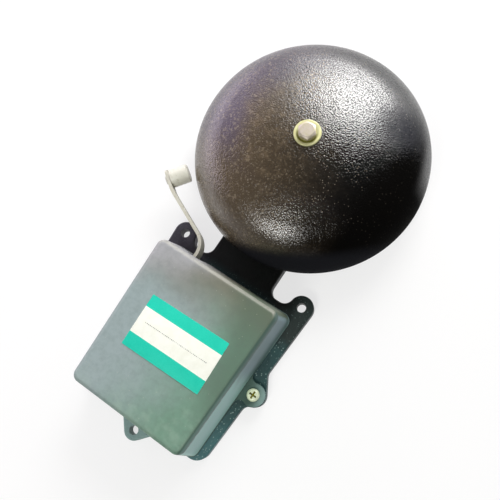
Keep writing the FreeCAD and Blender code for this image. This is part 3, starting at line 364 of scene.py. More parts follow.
def moulding_top(b, s, x, y, clouds, mottle):
    """The cover's top: green, greyer to the left as painted sheen, warm and then pale by the gong with the
    pale part a painted sheen, darker on the right as painted shade, chalky far off.
    """
    # Greyer and paler towards the left: painted sheen.
    left_sheen = b.step((y * 0.2 - x).frayed(clouds, 0.05), -0.05, 0.012)
    colour = b.mix(left_sheen, s.cover_green, s.cover_sheen_grey)
    warmer = b.step(y.frayed(clouds, 0.02), -0.047, -0.013)
    colour = b.mix(warmer * 0.85, colour, srgb(113, 108, 87))
    # Pale towards the left corner by the gong: painted sheen.
    corner_sheen = b.step((y - 0.6 * x).frayed(clouds, 0.03), -0.022, 0.006)
    colour = b.mix(corner_sheen * 0.9, colour, srgb(176, 177, 182))
    # Darker towards the right: painted shade.
    right_shade = b.step((x + 0.3 * y).frayed(clouds, 0.03), 0.0, 0.02)
    colour = b.mix(right_shade * 0.62, colour, srgb(80, 102, 84))
    colour = b.mix(b.step(mottle, 0.35, 0.75) * 0.22, colour, srgb(90, 102, 96))
    chalky = b.step(b.noise(0.011, 3.0, 0.6), 0.44, 0.66) * b.step(y - 0.4 * x, -0.080, -0.108)
    return b.mix(chalky * 0.3, colour, srgb(156, 182, 164))


def moulding_wall(b, y, z, clouds, mottle):
    """The cover's right wall, in colours of painted light: paler towards its far end, with a band of painted
    shadow nearer the gong and a foot darkened by painted shade.
    """
    # The wall's pale colours, paler still towards the far end: painted light.
    lit_far_end = b.step(y.frayed(clouds, 0.02), -0.046, -0.066)
    wall = b.mix(lit_far_end, srgb(150, 175, 182), srgb(206, 248, 244))
    # A darker band nearer the gong: painted shadow.
    shadow_band = b.step(abs(y + 0.036), 0.012, 0.004)
    wall = b.mix(shadow_band * 0.25, wall, srgb(92, 128, 120))
    # Darker foot where the wall meets the base: painted shade.
    foot = b.step(z.frayed(mottle, 0.008), 0.026, 0.014)
    foot_colour = b.mix(lit_far_end, srgb(84, 116, 108), srgb(186, 236, 226))
    return b.mix(foot * 0.7, wall, foot_colour)


def cover_moulding(s):
    """Satin grey-green moulding, cloudy, with painted highlights on the roundings that face the gong, a dark
    brow of painted shade, a right wall and ears in painted light and shade, specks and fine scratches.
    """
    material, b = new_material("cover_moulding")
    x, y, z = b.axes(b.place())
    facing_x, facing_y, facing_z = b.facing()
    clouds = b.noise(0.028, 3.0, 0.55)
    mottle = b.noise(0.0045, 4.0, 0.65)
    colour = moulding_top(b, s, x, y, clouds, mottle)
    rounding = b.step(facing_z, 0.2, 0.55) * b.step(facing_z, 0.995, 0.93)
    # Pale band on the roundings that face the gong: a painted highlight, uneven along the edge.
    edge_highlight = b.step(facing_y, -0.2, 0.6) * (0.2 + 0.5 * b.noise(0.008, 3.0))
    colour = b.mix(rounding * edge_highlight, colour, srgb(188, 187, 175))
    # The wall that faces right takes the paler wall colours: a lit copy of the moulding, painted light.
    colour = b.mix(b.step(facing_x, 0.6, 0.9), colour, moulding_wall(b, y, z, clouds, mottle))
    # The brow along the top's right rounding and just under the top: painted shade.
    under_the_top = b.step(z.frayed(mottle, 0.004), 0.0425, 0.0460)
    brow = 1 - (1 - rounding) * (1 - under_the_top)
    colour = b.mix(brow * b.step(facing_x, 0.25, 0.6) * 0.85, colour, srgb(70, 98, 88))
    # Screw ears: dark next to the wall as painted shadow, pale further out as painted light.
    ear = b.mix(b.step(x + 0.4 * y, 0.036, 0.022), srgb(142, 172, 170), srgb(56, 84, 76))
    wall_foot, ear_top = 0.0118, 0.0104
    colour = b.mix(b.step(z, wall_foot, ear_top) * 0.85, colour, ear)
    specks = b.step(b.cells(0.0036), 0.085, 0.04)
    colour = b.mix(specks * 0.45, colour, srgb(190, 194, 180))
    scratches = b.step(b.noise(0.004, stretch=(1, 0.06, 1), distortion=0.3), 0.70, 0.76)
    scratches = scratches * b.step(b.noise(0.02), 0.52, 0.6)
    colour = b.mix(scratches * 0.45, colour, srgb(186, 192, 180))
    grain = b.bump(b.noise(0.0006), 0.00002)
    flow = b.bump(clouds, 0.0004, grain)
    b.finish(Base_Color=colour, Roughness=0.5 + 0.12 * mottle, Normal=flow, IOR=1.5)
    return material


def base_paint(s):
    """Dark paint on a rough casting: specks, worn edges, painted shade nearly black by the gong and on the
    right ear, a painted violet sheen on the left ear, and painted light paler towards the far end and on the
    end ear.
    """
    material, b = new_material("base_paint")
    x, y, _ = b.axes(b.place())
    clouds = b.noise(0.02, 3.0, 0.6)
    colour = b.mix(b.step(clouds, 0.3, 0.75), s.base, srgb(34, 66, 68))
    # Violet grey on the left ear: painted sheen from the left.
    left_ear_sheen = b.step(x, -0.015, -0.03) * b.step(y, -0.03, -0.015)
    colour = b.mix(left_ear_sheen, colour, srgb(78, 76, 86))
    # Darker on the right ear beside the cover: painted shade.
    right_ear_shade = b.step(x, 0.024, 0.034) * b.step(y.frayed(clouds, 0.02), -0.030, -0.018)
    colour = b.mix(right_ear_shade * 0.75, colour, srgb(30, 34, 28))
    # Nearly black on the neck beside the gong: painted shade under the gong's rim.
    shade_by_the_gong = b.step(y, -0.012, -0.002) * b.step(abs(x), 0.042, 0.034)
    colour = b.mix(shade_by_the_gong * 0.9, colour, srgb(24, 21, 18))
    # Paler teal towards the far end: painted light.
    lit_far_end = b.step(y.frayed(clouds, 0.03), -0.07, -0.11)
    colour = b.mix(lit_far_end * 0.7, colour, srgb(78, 130, 134))
    specks = b.step(b.cells(0.0016), 0.3, 0.14) * b.step(b.noise(0.004), 0.4, 0.54)
    specks = specks * (1 - shade_by_the_gong) * (1 - 0.7 * right_ear_shade) * (1 - 0.85 * left_ear_sheen)
    colour = b.mix(specks * 0.8, colour, s.base_dust)
    # Pale end ear: painted light.
    lit_end_ear = b.step(y, -0.1155, -0.1200)
    colour = b.mix(lit_end_ear * 0.95, colour, b.mix(clouds, srgb(118, 150, 148), srgb(160, 188, 184)))
    wear = b.sharp_edges(0.0006) * b.step(b.noise(0.003, 3.0), 0.42, 0.62)
    colour = b.mix(wear * 0.5, colour, srgb(112, 116, 108))
    height = b.noise(0.0022, 4.0, 0.65) + 0.5 * b.cells(0.0011)
    b.finish(Base_Color=colour, Roughness=0.42 + 0.2 * clouds, Normal=b.bump(height, 0.00025), IOR=1.5)
    return material


def label_print(s, half_length, thickness):
    """Printed film: two bands with a pale strip between them, and one dotted line to write on."""
    material, b = new_material("label_print")
    x, y, z = b.axes(b.place())
    blur = 0.00008
    upper_edge, lower_edge = half_length - s.upper_band, s.lower_band - half_length
    bands = b.step(y, upper_edge - blur, upper_edge + blur) + b.step(y, lower_edge + blur, lower_edge - blur)
    grain = b.noise(0.0007, 3.0, 0.7)
    band = b.mix(b.step(grain, 0.3, 0.75) * 0.35, s.label_band, srgb(60, 222, 196))
    band = b.mix(b.step(b.noise(0.009), 0.4, 0.7) * 0.25, band, srgb(12, 190, 164))
    paper = b.mix(b.step(b.noise(0.006, 4.0, 0.6), 0.35, 0.75) * 0.35, s.label_paper, srgb(228, 230, 212))
    dot_pitch, line_height = 0.0011, 0.0006
    along = b.repeat(x, dot_pitch)
    dots = b.step(abs(along - 0.5), 0.32, 0.24) * b.step(abs(y - line_height), 0.00030, 0.00020)
    worn = 0.35 + 0.65 * b.step(b.noise(0.0025), 0.35, 0.6)
    line_ends = b.step(abs(x), 0.0222, 0.0220)
    dots = dots * line_ends * worn
    paper = b.mix(dots, paper, s.label_ink)
    colour = b.mix(b.step(bands, 0.2, 0.8), paper, band)
    cut_edge = b.step(z, thickness * 0.8, thickness * 0.6)
    colour = b.mix(cut_edge, colour, srgb(226, 228, 214))
    ripple = b.bump(b.noise(0.007, 1.0), 0.00012)
    b.finish(Base_Color=colour, Roughness=0.34 + 0.14 * grain, Normal=ripple, IOR=1.45)
    return material


def plated_steel(name, plating, shade, rough):
    """Dull pale plating, a little cloudy, with fine lines from rolling and turning."""
    material, b = new_material(name)
    clouds = b.noise(0.005, 3.0, 0.6)
    colour = b.mix(b.step(clouds, 0.3, 0.75) * 0.6, plating, shade)
    colour = b.mix(b.sharp_edges(0.0004) * 0.4, colour, srgb(232, 230, 222))
    stains = b.step(b.noise(0.0025, 3.0), 0.62, 0.74)
    colour = b.mix(stains * 0.35, colour, srgb(168, 158, 134))
    lines = b.noise(0.0004, stretch=(1, 1, 0.08))
    b.finish(Base_Color=colour, Metallic=0.05, Roughness=rough + 0.16 * clouds, Normal=b.bump(lines, 0.00002),
             IOR=1.6)
    return material


def plated_grain(b):
    """Fine grain of a plated face, drawn out along its height."""
    return b.noise(0.00025, stretch=(1, 1, 0.2))


def zinc_plate(name, plating, tint, rough, cast=0.5):
    """Zinc plating over steel: metal with cloudy tints and brighter edges."""
    material, b = new_material(name)
    clouds = b.noise(0.0022, 3.0, 0.6)
    colour = b.mix(b.step(clouds, 0.35, 0.68) * cast, plating, tint)
    colour = b.mix(b.sharp_edges(0.0003) * 0.5, colour, srgb(240, 238, 220))
    spots = b.step(b.noise(0.0007), 0.66, 0.76)
    colour = b.mix(spots * 0.4, colour, srgb(120, 112, 84))
    b.finish(Base_Color=colour, Metallic=0.55, Roughness=rough + 0.14 * clouds,
             Normal=b.bump(plated_grain(b), 0.000015))
    return material


def cross_zinc():
    """Pale yellow zinc of the cover's screw, with painted shade in its cross recess."""
    material, b = new_material("cross_zinc")
    x, y, z = b.from_node("cover_screws")
    low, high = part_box("cover_screws")
    top = (high.z - low.z) / 2
    clouds = b.noise(0.0018, 3.0, 0.6)
    colour = b.mix(clouds, srgb(250, 255, 234), srgb(232, 246, 192))
    # Darker in the cross recess: painted shade.
    recess_shade = b.step(z, top - 0.0004, top - 0.0011) * b.step(b.reach(x, y), 0.0030, 0.0025)
    colour = b.mix(recess_shade, colour, srgb(136, 132, 30))
    b.finish(Base_Color=colour, Metallic=0.1, Roughness=0.3 + 0.16 * clouds,
             Normal=b.bump(plated_grain(b), 0.00002))
    return material


def rim_zinc():
    """Yellow zinc, with a painted highlight on the washer's round rim and painted shadow of the bolt's head
    in the ring round it.
    """
    material, b = new_material("rim_zinc")
    x, y, _ = b.from_node("gong_washer")
    clouds = b.noise(0.0022, 3.0, 0.6)
    bright = b.mix(clouds, srgb(240, 240, 196), srgb(214, 210, 140))
    # Ring round the bolt's head: painted shadow, darker on its lower side.
    dark = b.mix(b.step(y - 0.4 * x, -0.004, 0.003), srgb(118, 116, 44), srgb(206, 206, 156))
    # Round rim: painted highlight.
    rim = b.step(b.reach(x, y).frayed(clouds, 0.001), 0.0062, 0.0071)
    colour = b.mix(rim, dark, bright)
    b.finish(Base_Color=colour, Metallic=0.3, Roughness=0.3 + 0.16 * clouds,
             Normal=b.bump(plated_grain(b), 0.00002))
    return material


def plain_metal(name, colour, shade, rough, stretch, depth=0.000015):
    """Bare metal with tool lines along one way and a cloudy tarnish."""
    material, b = new_material(name)
    clouds = b.noise(0.004, 3.0, 0.6)
    lines = b.noise(0.0003, 3.0, 0.6, stretch)
    tone = b.mix(b.step(clouds, 0.35, 0.75) * 0.6, colour, shade)
    tone = b.mix(b.step(lines, 0.4, 0.7) * 0.25, tone, shade)
    b.finish(Base_Color=tone, Metallic=1.0, Roughness=rough + 0.2 * lines, Normal=b.bump(lines, depth))
    return material


def lamination_steel():
    """Stack of thin sheets: dark varnished edges with bare and rusty flecks."""
    material, b = new_material("lamination_steel")
    clouds = b.noise(0.003, 3.0, 0.6)
    burr = b.noise(0.0004, 3.0, 0.6, stretch=(0.2, 0.2, 1))
    tone = b.mix(b.step(burr, 0.4, 0.7) * 0.5, srgb(92, 92, 94), srgb(48, 47, 48))
    rust = b.step(clouds, 0.6, 0.74)
    tone = b.mix(rust * 0.6, tone, srgb(104, 66, 40))
    b.finish(Base_Color=tone, Metallic=0.85 - 0.6 * rust, Roughness=0.45 + 0.25 * clouds,
             Normal=b.bump(burr, 0.00003))
    return material


def copper_wire():
    """Enamelled copper: warm red-brown varnish over bright metal."""
    material, b = new_material("copper_wire")
    clouds = b.noise(0.004)
    streaks = b.noise(0.0006, stretch=(1, 0.1, 0.1))
    tone = b.mix(b.step(streaks, 0.35, 0.7), srgb(178, 92, 52), srgb(132, 58, 30))
    tone = b.mix(b.step(clouds, 0.5, 0.8) * 0.4, tone, srgb(92, 40, 24))
    b.finish(Base_Color=tone, Metallic=0.75, Roughness=0.26 + 0.14 * clouds, Normal=b.bump(streaks, 0.00001),
             Coat_Weight=0.6, Coat_Roughness=0.12)
    return material


def coil_tape():
    """Varnished cloth tape wound round the coil: a plain weave, with the edge of each turn showing."""
    material, b = new_material("coil_tape")
    x, y, z = b.axes(b.place())
    tape_pitch, thread_rate = 0.0062, 9000.0
    turn = b.repeat(x + 0.06 * y, tape_pitch)
    overlap = b.step(turn, 0.0, 0.06) * b.step(turn, 1.0, 0.97)
    weave = b.wave(x, thread_rate) * b.wave(y + z, thread_rate)
    clouds = b.noise(0.006, 3.0)
    tone = b.mix(b.step(clouds, 0.3, 0.75), srgb(206, 178, 112), srgb(170, 134, 74))
    tone = b.mix((1 - overlap) * 0.7, tone, srgb(112, 84, 44))
    tone = b.mix(b.step(weave, 0.1, -0.5) * 0.3, tone, srgb(118, 92, 50))
    height = overlap * 0.6 + weave * 0.12
    b.finish(Base_Color=tone, Roughness=0.48 + 0.2 * clouds, Normal=b.bump(height, 0.0002))
    return material


def lead_sleeving():
    """Braided sleeving over the coil's leads."""
    material, b = new_material("lead_sleeving")
    x, y, z = b.axes(b.place())
    braid_rate = 7000.0
    braid = b.wave(x + y + z, braid_rate) * b.wave(x - y - z, braid_rate)
    clouds = b.noise(0.004)
    tone = b.mix(b.step(braid, -0.5, 0.5), srgb(150, 44, 34), srgb(198, 74, 54))
    tone = b.mix(b.step(clouds, 0.4, 0.75) * 0.35, tone, srgb(110, 38, 30))
    b.finish(Base_Color=tone, Roughness=0.62 + 0.15 * clouds, Normal=b.bump(braid, 0.0001))
    return material


def moulded(name, colour, shade, fleck, rough):
    """A moulded insulating part: cloudy, with flecks of filler and a fine skin."""
    material, b = new_material(name)
    clouds = b.noise(0.007, 3.0, 0.6)
    tone = b.mix(b.step(clouds, 0.3, 0.75), colour, shade)
    tone = b.mix(b.step(b.cells(0.0009), 0.2, 0.1) * 0.5, tone, fleck)
    tone = b.mix(b.sharp_edges(0.0004) * 0.3, tone, fleck)
    skin = b.noise(0.0005)
    b.finish(Base_Color=tone, Roughness=rough + 0.15 * clouds, Normal=b.bump(skin, 0.00002))
    return material


def soft_rubber():
    """Black rubber with a grey bloom and a fine matt grain."""
    material, b = new_material("soft_rubber")
    bloom = b.noise(0.003, 4.0, 0.65)
    tone = b.mix(b.step(bloom, 0.4, 0.75) * 0.7, srgb(26, 26, 27), srgb(64, 64, 64))
    grain = b.noise(0.0003)
    b.finish(Base_Color=tone, Roughness=0.62 + 0.25 * bloom, Normal=b.bump(grain, 0.00003))
    return material


def give(material, *nodes):
    """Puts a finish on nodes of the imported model."""
    for name in nodes:
        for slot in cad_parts[name].material_slots:
            slot.material = material


# ---------------------------------------------------------------- pieces
def clear(name):
    """Takes away an older object of this name."""
    old = bpy.data.objects.get(name)
    if old:
        bpy.data.objects.remove(old)


def new_piece(name, mesh_source, material, location=(0, 0, 0), turn=0.0):
    """An object made from a bmesh, put in the scene in place of an older one of that name."""
    clear(name)
    bmesh.ops.recalc_face_normals(mesh_source, faces=mesh_source.faces)
    mesh = bpy.data.meshes.new(name)
    mesh_source.to_mesh(mesh)
    mesh_source.free()
    mesh.materials.append(material)
    piece = bpy.data.objects.new(name, mesh)
    piece.location = location
    piece.rotation_euler = (0, 0, turn)
    bpy.context.scene.collection.objects.link(piece)
    return piece


def shade_smooth(piece, crease_degrees=35):
    """Shades a piece smooth but for its sharp edges."""
    for face in piece.data.polygons:
        face.use_smooth = True
    piece.data.set_sharp_from_angle(angle=math.radians(crease_degrees))


def rounded_outline(half_width, half_length, radius, steps):
    """Points round a rectangle with rounded corners, counter-clockwise."""
    points = []
    for turn, (side_x, side_y) in enumerate(((1, 1), (-1, 1), (-1, -1), (1, -1))):
        for i in range(steps + 1):
            angle = math.radians(90 * turn + 90 * i / steps)
            points.append((side_x * (half_width - radius) + radius * math.cos(angle),
                           side_y * (half_length - radius) + radius * math.sin(angle)))
    return points


def join_rings(mesh, rings, closed=False):
    """Faces between rings of vertices, each ring round and of one count."""
    following = rings[1:] + (rings[:1] if closed else [])
    for lower, upper in zip(rings, following):
        for here, vertex in enumerate(lower):
            beside = (here + 1) % len(lower)
            mesh.faces.new((vertex, lower[beside], upper[beside], upper[here]))


def turned(mesh, profile, centre, axis, sides):
    """A closed profile of (radius, height) points turned round an axis of x or z through a centre."""
    rings = []
    for radius, height in profile:
        ring = []
        for i in range(sides):
            angle = 2 * math.pi * i / sides
            across = (radius * math.cos(angle), radius * math.sin(angle))
            spot = (height, *across) if axis == "x" else (*across, height)
            ring.append(mesh.verts.new(Vector(centre) + Vector(spot)))
        rings.append(ring)
    join_rings(mesh, rings, closed=True)


def rounded_profile(corners, steps=4):
    """A closed profile of (radius, height, rounding) corners, with a short curve at each that is rounded."""
    points = []
    count = len(corners)
    for i, (radius, height, rounding) in enumerate(corners):
        here = Vector((radius, height))
        before = Vector(corners[i - 1][:2]) - here
        after = Vector(corners[(i + 1) % count][:2]) - here
        if rounding <= 0:
            points.append((radius, height))
            continue
        start = here + before.normalized() * rounding
        end = here + after.normalized() * rounding
        for k in range(steps + 1):
            way = k / steps
            spot = start * (1 - way) ** 2 + here * (2 * way * (1 - way)) + end * way ** 2
            points.append((spot.x, spot.y))
    return points


class BELL_OT_finishes(Operator):
    """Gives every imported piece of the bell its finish"""

    bl_idname = "bell.finishes"
    bl_label = "Finishes"

    def execute(self, context):
        s = settings()
        give(gong_enamel(s), "gong")
        give(cover_moulding(s), "cover")
        give(base_paint(s), "base_casting")
        self.plated(s)
        self.bare_metal()
        self.coil_and_insulation()
        return {"FINISHED"}

    @staticmethod
    def plated(s):
        """Dull plating on the hammer, and zinc on the bolt, screws and washers."""
        give(plated_steel("plated_steel", s.plating, srgb(196, 192, 174), rough=0.46),
             "hammer_arm", "armature", "stop_bracket")
        # The clapper's plating is paler than the arm's: painted light on the clapper.
        give(plated_steel("plated_head", srgb(238, 237, 224), srgb(216, 216, 198), rough=0.34), "clapper")
        give(zinc_plate("yellow_zinc", s.zinc, srgb(178, 168, 84), rough=0.3),
             "gong_spring_washer", "post_screw", "core_screws", "leaf_post_screws", "leaf_clamp_screws",
             "stop_bracket_screw", "block_screws")
        give(zinc_plate("bright_bolt", srgb(212, 201, 190), srgb(196, 190, 128), rough=0.34, cast=0.35),
             "gong_bolt")
        give(rim_zinc(), "gong_washer")
        give(cross_zinc(), "cover_screws")

    @staticmethod
    def bare_metal():
        """Bare steel and brass, and the varnished sheets of the core."""
        give(plain_metal("turned_steel", srgb(176, 174, 170), srgb(120, 114, 106), rough=0.28,
                         stretch=(0.1, 0.1, 1)),
             "gong_post", "armature_rivets", "leaf_post", "leaf_clamp", "stop_screw", "stop_nut")
        give(plain_metal("terminal_brass", srgb(204, 170, 92), srgb(150, 112, 52), rough=0.26,
                         stretch=(1, 0.2, 1)),
             "terminal_plates", "terminal_screws", "earth_screw", "earth_washer")
        give(lamination_steel(), "core_laminations")

    @staticmethod
    def coil_and_insulation():
        """Tape and sleeving of the coil, and the moulded and fibre parts."""
        give(coil_tape(), "coil_wrap")
        give(lead_sleeving(), "coil_lead_a", "coil_lead_b")
        give(moulded("bobbin_moulding", srgb(222, 214, 190), srgb(196, 184, 152), srgb(236, 230, 214),
                     rough=0.34),
             "coil_bobbin")
        give(moulded("phenolic", srgb(58, 34, 22), srgb(36, 20, 14), srgb(98, 66, 46), rough=0.3),
             "terminal_block")
        give(moulded("fibre", srgb(134, 56, 40), srgb(104, 40, 30), srgb(168, 92, 70), rough=0.6),
             "gong_seat_washer")


class BELL_OT_label(Operator):
    """Makes the printed label on the cover"""

    bl_idname = "bell.label"
    bl_label = "Label"

    def execute(self, context):
        s = settings()
        low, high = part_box("label")
        points = [v.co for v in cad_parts["label"].data.vertices]
        left = min(points, key=lambda p: (p.x, p.y))
        bottom = min(points, key=lambda p: (p.y, p.x))
        turn = self.settle(math.atan2(left.y - bottom.y, left.x - bottom.x))
        width, length = self.sides(high.x - low.x, high.y - low.y, turn)
        thickness = high.z - low.z
        mesh = self.film(width / 2, length / 2, thickness, s.label_corner)
        material = label_print(s, length / 2, thickness)
        centre = (low + high) / 2
        sticker = new_piece("label_sticker", mesh, material, (centre.x, centre.y, low.z), turn)
        shade_smooth(sticker)
        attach(sticker, "root")
        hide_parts("label")
        return {"FINISHED"}

    @staticmethod
    def film(half_width, half_length, thickness, corner):
        """A flat sheet with round corners and a small bevel round its upper face."""
        bevel = thickness * 0.25
        mesh = bmesh.new()
        rings = []
        for inset, height in ((0, 0), (0, thickness - bevel), (bevel * 0.3, thickness - bevel * 0.3),
                              (bevel, thickness)):
            outline = rounded_outline(half_width - inset, half_length - inset, corner, steps=5)
            rings.append([mesh.verts.new((x, y, height)) for x, y in outline])
        join_rings(mesh, rings)
        mesh.faces.new(rings[-1])
        mesh.faces.new(rings[0][::-1])
        return mesh

    @staticmethod
    def sides(box_width, box_length, turn):
        """Width and length of a rectangle with a small turn, from those of the square-on box round it."""
        cosine, sine = math.cos(turn), abs(math.sin(turn))
        share = cosine * cosine - sine * sine
        width = (box_width * cosine - box_length * sine) / share
        length = (box_length * cosine - box_width * sine) / share
        return width, length

    @staticmethod
    def settle(angle):
        """The small turn of a nearly square-on rectangle, from the direction of one of its sides."""
        quarter = math.pi / 2
        return (angle + quarter / 2) % quarter - quarter / 2


class BELL_OT_leaf(Operator):
    """Makes the leaf spring, cut fine where it bends"""

    bl_idname = "bell.leaf"
    bl_label = "Leaf spring"

    def execute(self, context):
        s = settings()
        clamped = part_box("leaf_clamp")[1].y
        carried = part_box("armature")[0].y
        same_point, on_the_cut = 1e-6, 1e-7
        mesh = bmesh.new()
        mesh.from_mesh(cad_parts["leaf_spring"].data)
        bmesh.ops.remove_doubles(mesh, verts=mesh.verts, dist=same_point)
        for i in range(s.leaf_cuts + 1):
            y = clamped + (carried - clamped) * i / s.leaf_cuts
            whole = mesh.verts[:] + mesh.edges[:] + mesh.faces[:]
            bmesh.ops.bisect_plane(mesh, geom=whole, plane_co=(0, y, 0), plane_no=(0, 1, 0), dist=on_the_cut)
        material = plain_metal("spring_steel", srgb(120, 126, 138), srgb(70, 74, 92), rough=0.2,
                               stretch=(1, 0.05, 1))
        blade = new_piece("leaf_blade", mesh, material)
        shade_smooth(blade)
        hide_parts("leaf_spring")
        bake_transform(blade)
        return {"FINISHED"}


class BELL_OT_rubber(Operator):
    """Makes the cable grommet and the pad of the hammer's stop"""

    bl_idname = "bell.rubber"
    bl_label = "Rubber pieces"

    def execute(self, context):
        material = soft_rubber()
        self.grommet(material)
        self.pad(material)
        return {"FINISHED"}

    @staticmethod
    def grommet(material):
        """A bush with a flange above and below the floor that it sits in."""
        low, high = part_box("cable_grommet")
        flange_radius = (high.x - low.x) / 2
        waist_radius, bore_radius, flange, lip = 0.005, 0.0035, 0.0014, 0.0006
        profile = rounded_profile([
            (bore_radius, low.z, lip), (flange_radius, low.z, lip),
            (flange_radius, low.z + flange, lip * 0.3), (waist_radius, low.z + flange, 0),
            (waist_radius, high.z - flange, 0), (flange_radius, high.z - flange, lip * 0.3),
            (flange_radius, high.z, lip), (bore_radius, high.z, lip)])
        mesh = bmesh.new()
        turned(mesh, profile, ((low.x + high.x) / 2, (low.y + high.y) / 2, 0), axis="z", sides=72)
        bush = new_piece("grommet_bush", mesh, material)
        shade_smooth(bush)
        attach(bush, "root")
        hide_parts("cable_grommet")

    @staticmethod
    def pad(material):
        """A round cushion with a blind hole for the end of the stop's screw."""
        low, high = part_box("stop_pad")
        radius = (high.y - low.y) / 2
        screw_radius, by_the_axis = 0.0015, 0.00002
        middle = (low.x + high.x) / 2
        profile = rounded_profile([
            (by_the_axis, middle, 0), (screw_radius, middle, 0), (screw_radius, low.x, 0),
            (radius, low.x, 0.0002), (radius, high.x, 0.0005), (by_the_axis, high.x, 0)])
        mesh = bmesh.new()
        turned(mesh, profile, (0, (low.y + high.y) / 2, (low.z + high.z) / 2), axis="x", sides=48)
        pad = new_piece("stop_cushion", mesh, material)
        shade_smooth(pad)
        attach(pad, "root")
        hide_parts("stop_pad")


class BELL_OT_coil(Operator):
    """Winds the coil's outer layer of wire"""

    bl_idname = "bell.coil"
    bl_label = "Coil"

    def execute(self, context):
        s = settings()
        low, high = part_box("coil_winding")
        half_y, half_z = (high.y - low.y) / 2, (high.z - low.z) / 2
        outer_corner, bore_corner = 0.0024, 0.0002
        outlines = [(x, rounded_outline(half_y - sunk, half_z - sunk, outer_corner - sunk, steps=4))
                    for x, sunk in self.ridges(low.x, high.x, s.wire)]
        bore = rounded_outline(*self.bore((low + high) / 2), bore_corner, steps=4)
        outlines += [(high.x, bore), (low.x, bore)]
        centre_y, centre_z = (low.y + high.y) / 2, (low.z + high.z) / 2
        mesh = bmesh.new()
        rings = [[mesh.verts.new((x, centre_y + u, centre_z + v)) for u, v in outline]
                 for x, outline in outlines]
        join_rings(mesh, rings, closed=True)
        winding = new_piece("wire_turns", mesh, copper_wire())
        shade_smooth(winding, crease_degrees=60)
        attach(winding, "root")
        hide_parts("coil_winding")
        return {"FINISHED"}

    @staticmethod
    def ridges(start, end, wire):
        """Points along the coil, each with how deep it lies: a half circle for every turn of wire."""
        turns = max(1, round((end - start) / wire))
        pitch = (end - start) / turns
        arc_steps = 6
        points = []
        for turn in range(turns):
            for k in range(arc_steps):
                angle = math.pi * (1 - k / arc_steps)
                x = start + pitch * (turn + 0.5 + 0.5 * math.cos(angle))
                points.append((x, pitch / 2 * (1 - math.sin(angle))))
        return points + [(end, pitch / 2)]

    @staticmethod
    def bore(centre):
        """Half the width and height of the winding's bore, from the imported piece's own points."""
        points = [v.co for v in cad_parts["coil_winding"].data.vertices]
        return min(abs(p.y - centre.y) for p in points), min(abs(p.z - centre.z) for p in points)


# ---------------------------------------------------------------- studio
WHITE = (1, 1, 1)


def soft_box(name, middle, bearing, height, distance, width, length, radiance, colour):
    """A flat lamp at a bearing and height in degrees from a middle point, facing it."""
    clear(name)
    light = bpy.data.lights.new(name, "AREA")
    light.shape, light.size, light.size_y = "RECTANGLE", width, length
    light.energy = radiance * math.pi * width * length
    light.color = colour
    lamp = bpy.data.objects.new(name, light)
    turn, rise = math.radians(bearing), math.radians(height)
    way = Vector((math.cos(rise) * math.cos(turn), math.cos(rise) * math.sin(turn), math.sin(rise)))
    lamp.location = Vector(middle) + way * distance
    lamp.rotation_euler = (Vector(middle) - lamp.location).to_track_quat("-Z", "Y").to_euler()
    bpy.context.scene.collection.objects.link(lamp)


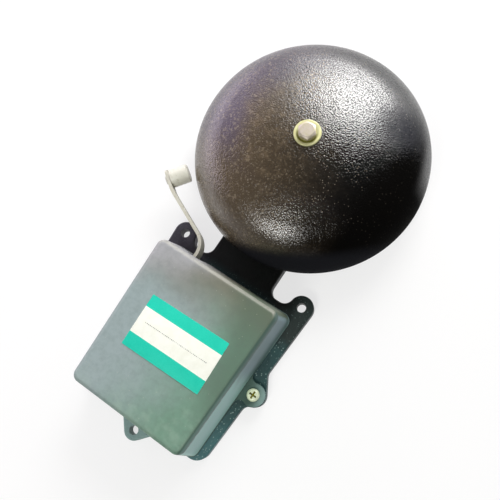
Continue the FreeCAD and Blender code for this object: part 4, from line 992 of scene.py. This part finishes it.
class BELL_OT_studio(Operator):
    """Sets up the floor, the soft lamps, the pale surroundings and the camera"""

    bl_idname = "bell.studio"
    bl_label = "Studio"

    def execute(self, context):
        s = settings()
        self.surroundings(s)
        self.floor(s)
        self.lamps(s)
        self.camera()
        context.scene.view_settings.view_transform = "Standard"
        return {"FINISHED"}

    @staticmethod
    def seen(b):
        """1 to the camera, straight or by way of metal and glass, and 0 to matt faces."""
        paths = [b.node("ShaderNodeLightPath", out=name)
                 for name in ("Is Camera Ray", "Is Glossy Ray", "Is Transmission Ray")]
        return b.node("ShaderNodeClamp", sockets={"Value": paths[0] + paths[1] + paths[2]})

    def surroundings(self, s):
        """A world that lights evenly, but looks dark overhead and white at the horizon."""
        world = bpy.data.worlds.new("pale_room")
        world.use_nodes = True
        bpy.context.scene.world = world
        b = Bench(world.node_tree)
        _, _, up = b.axes(b.node("ShaderNodeTexCoord", out="Generated"))
        room = b.mix(b.step(up, 0.06, 0.2), WHITE, (s.ceiling, s.ceiling, s.ceiling))
        even = b.node("ShaderNodeBackground", sockets={"Color": WHITE, "Strength": s.sky})
        backdrop = b.node("ShaderNodeBackground", sockets={"Color": room, "Strength": 1.0})
        b.end("ShaderNodeOutputWorld", b.either(self.seen(b), even, backdrop))

    def floor(self, s):
        """A wide plain floor just under the bell, which looks white where no shadow falls."""
        half, drop = 3.0, 0.0002
        corners = ((-half, -half), (half, -half), (half, half), (-half, half))
        mesh = bmesh.new()
        mesh.faces.new([mesh.verts.new((x, y, -drop)) for x, y in corners])
        material, b = new_material("floor_paint")
        matt = b.node("ShaderNodeBsdfDiffuse", sockets={"Color": (s.floor, s.floor, s.floor)})
        glow = b.node("ShaderNodeEmission", sockets={"Color": WHITE, "Strength": 1 - s.floor})
        lifted = b.node("ShaderNodeAddShader", sockets={0: matt, 1: glow})
        b.end("ShaderNodeOutputMaterial", b.either(self.seen(b), matt, lifted))
        floor = new_piece("floor", mesh, material)

    @staticmethod
    def lamps(s):
        """Four soft lamps that face a point near the bell's middle."""
        middle = (0.0, 0.03, 0.04)
        soft_box("wall_lamp", middle, bearing=94, height=27, distance=0.85, width=1.25, length=0.62,
                 radiance=s.wall_light, colour=(1.0, 0.99, 1.0))
        soft_box("key_lamp", middle, bearing=98, height=41, distance=0.76, width=0.36, length=0.34,
                 radiance=s.key_light, colour=(1.0, 0.99, 0.97))
        soft_box("fill_lamp", middle, bearing=-80, height=48, distance=0.75, width=0.22, length=0.22,
                 radiance=s.fill_light, colour=(1.0, 0.99, 0.95))
        soft_box("side_lamp", middle, bearing=176, height=16, distance=0.75, width=0.90, length=0.40,
                 radiance=s.side_light, colour=(0.98, 0.86, 1.0))

    @staticmethod
    def camera():
        """The camera, over the bell and to its right, turned so that the bell stands aslant."""
        clear("camera")
        lens = bpy.data.cameras.new("camera")
        lens.sensor_width, lens.lens = 36.0, 44.675
        lens.clip_start, lens.clip_end = 0.01, 50.0
        camera = bpy.data.objects.new("camera", lens)
        camera.location = (0.094024, -0.031095, 0.398713)
        tilt, roll, slant = 13.0162, 8.0179, 34.1215
        camera.rotation_euler = [math.radians(angle) for angle in (tilt, roll, slant)]
        bpy.context.scene.collection.objects.link(camera)
        bpy.context.scene.camera = camera


class BELL_PT_panel(Panel):
    """Buttons and settings of the bell in the 3D view's sidebar"""

    bl_idname = "BELL_PT_panel"
    bl_label = "Electric bell"
    bl_space_type = "VIEW_3D"
    bl_region_type = "UI"
    bl_category = "Bell"

    def draw(self, context):
        column = self.layout.column()
        for step in STEPS:
            column.operator(step.bl_idname)
        for name in BellSettings.__annotations__:
            column.prop(context.scene.electric_bell, name)


STEPS = (BELL_OT_finishes, BELL_OT_label, BELL_OT_leaf, BELL_OT_rubber, BELL_OT_coil, BELL_OT_studio)


def register():
    for part in (BellSettings, *STEPS, BELL_PT_panel):
        bpy.utils.register_class(part)
    bpy.types.Scene.electric_bell = PointerProperty(type=BellSettings)


def unregister():
    del bpy.types.Scene.electric_bell
    for part in (BELL_PT_panel, *reversed(STEPS), BellSettings):
        bpy.utils.unregister_class(part)


def main():
    """Registers the bell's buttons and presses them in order."""
    register()
    for step in STEPS:
        getattr(bpy.ops.bell, step.bl_idname.split(".")[1])()


if __name__ == "__main__":
    main()
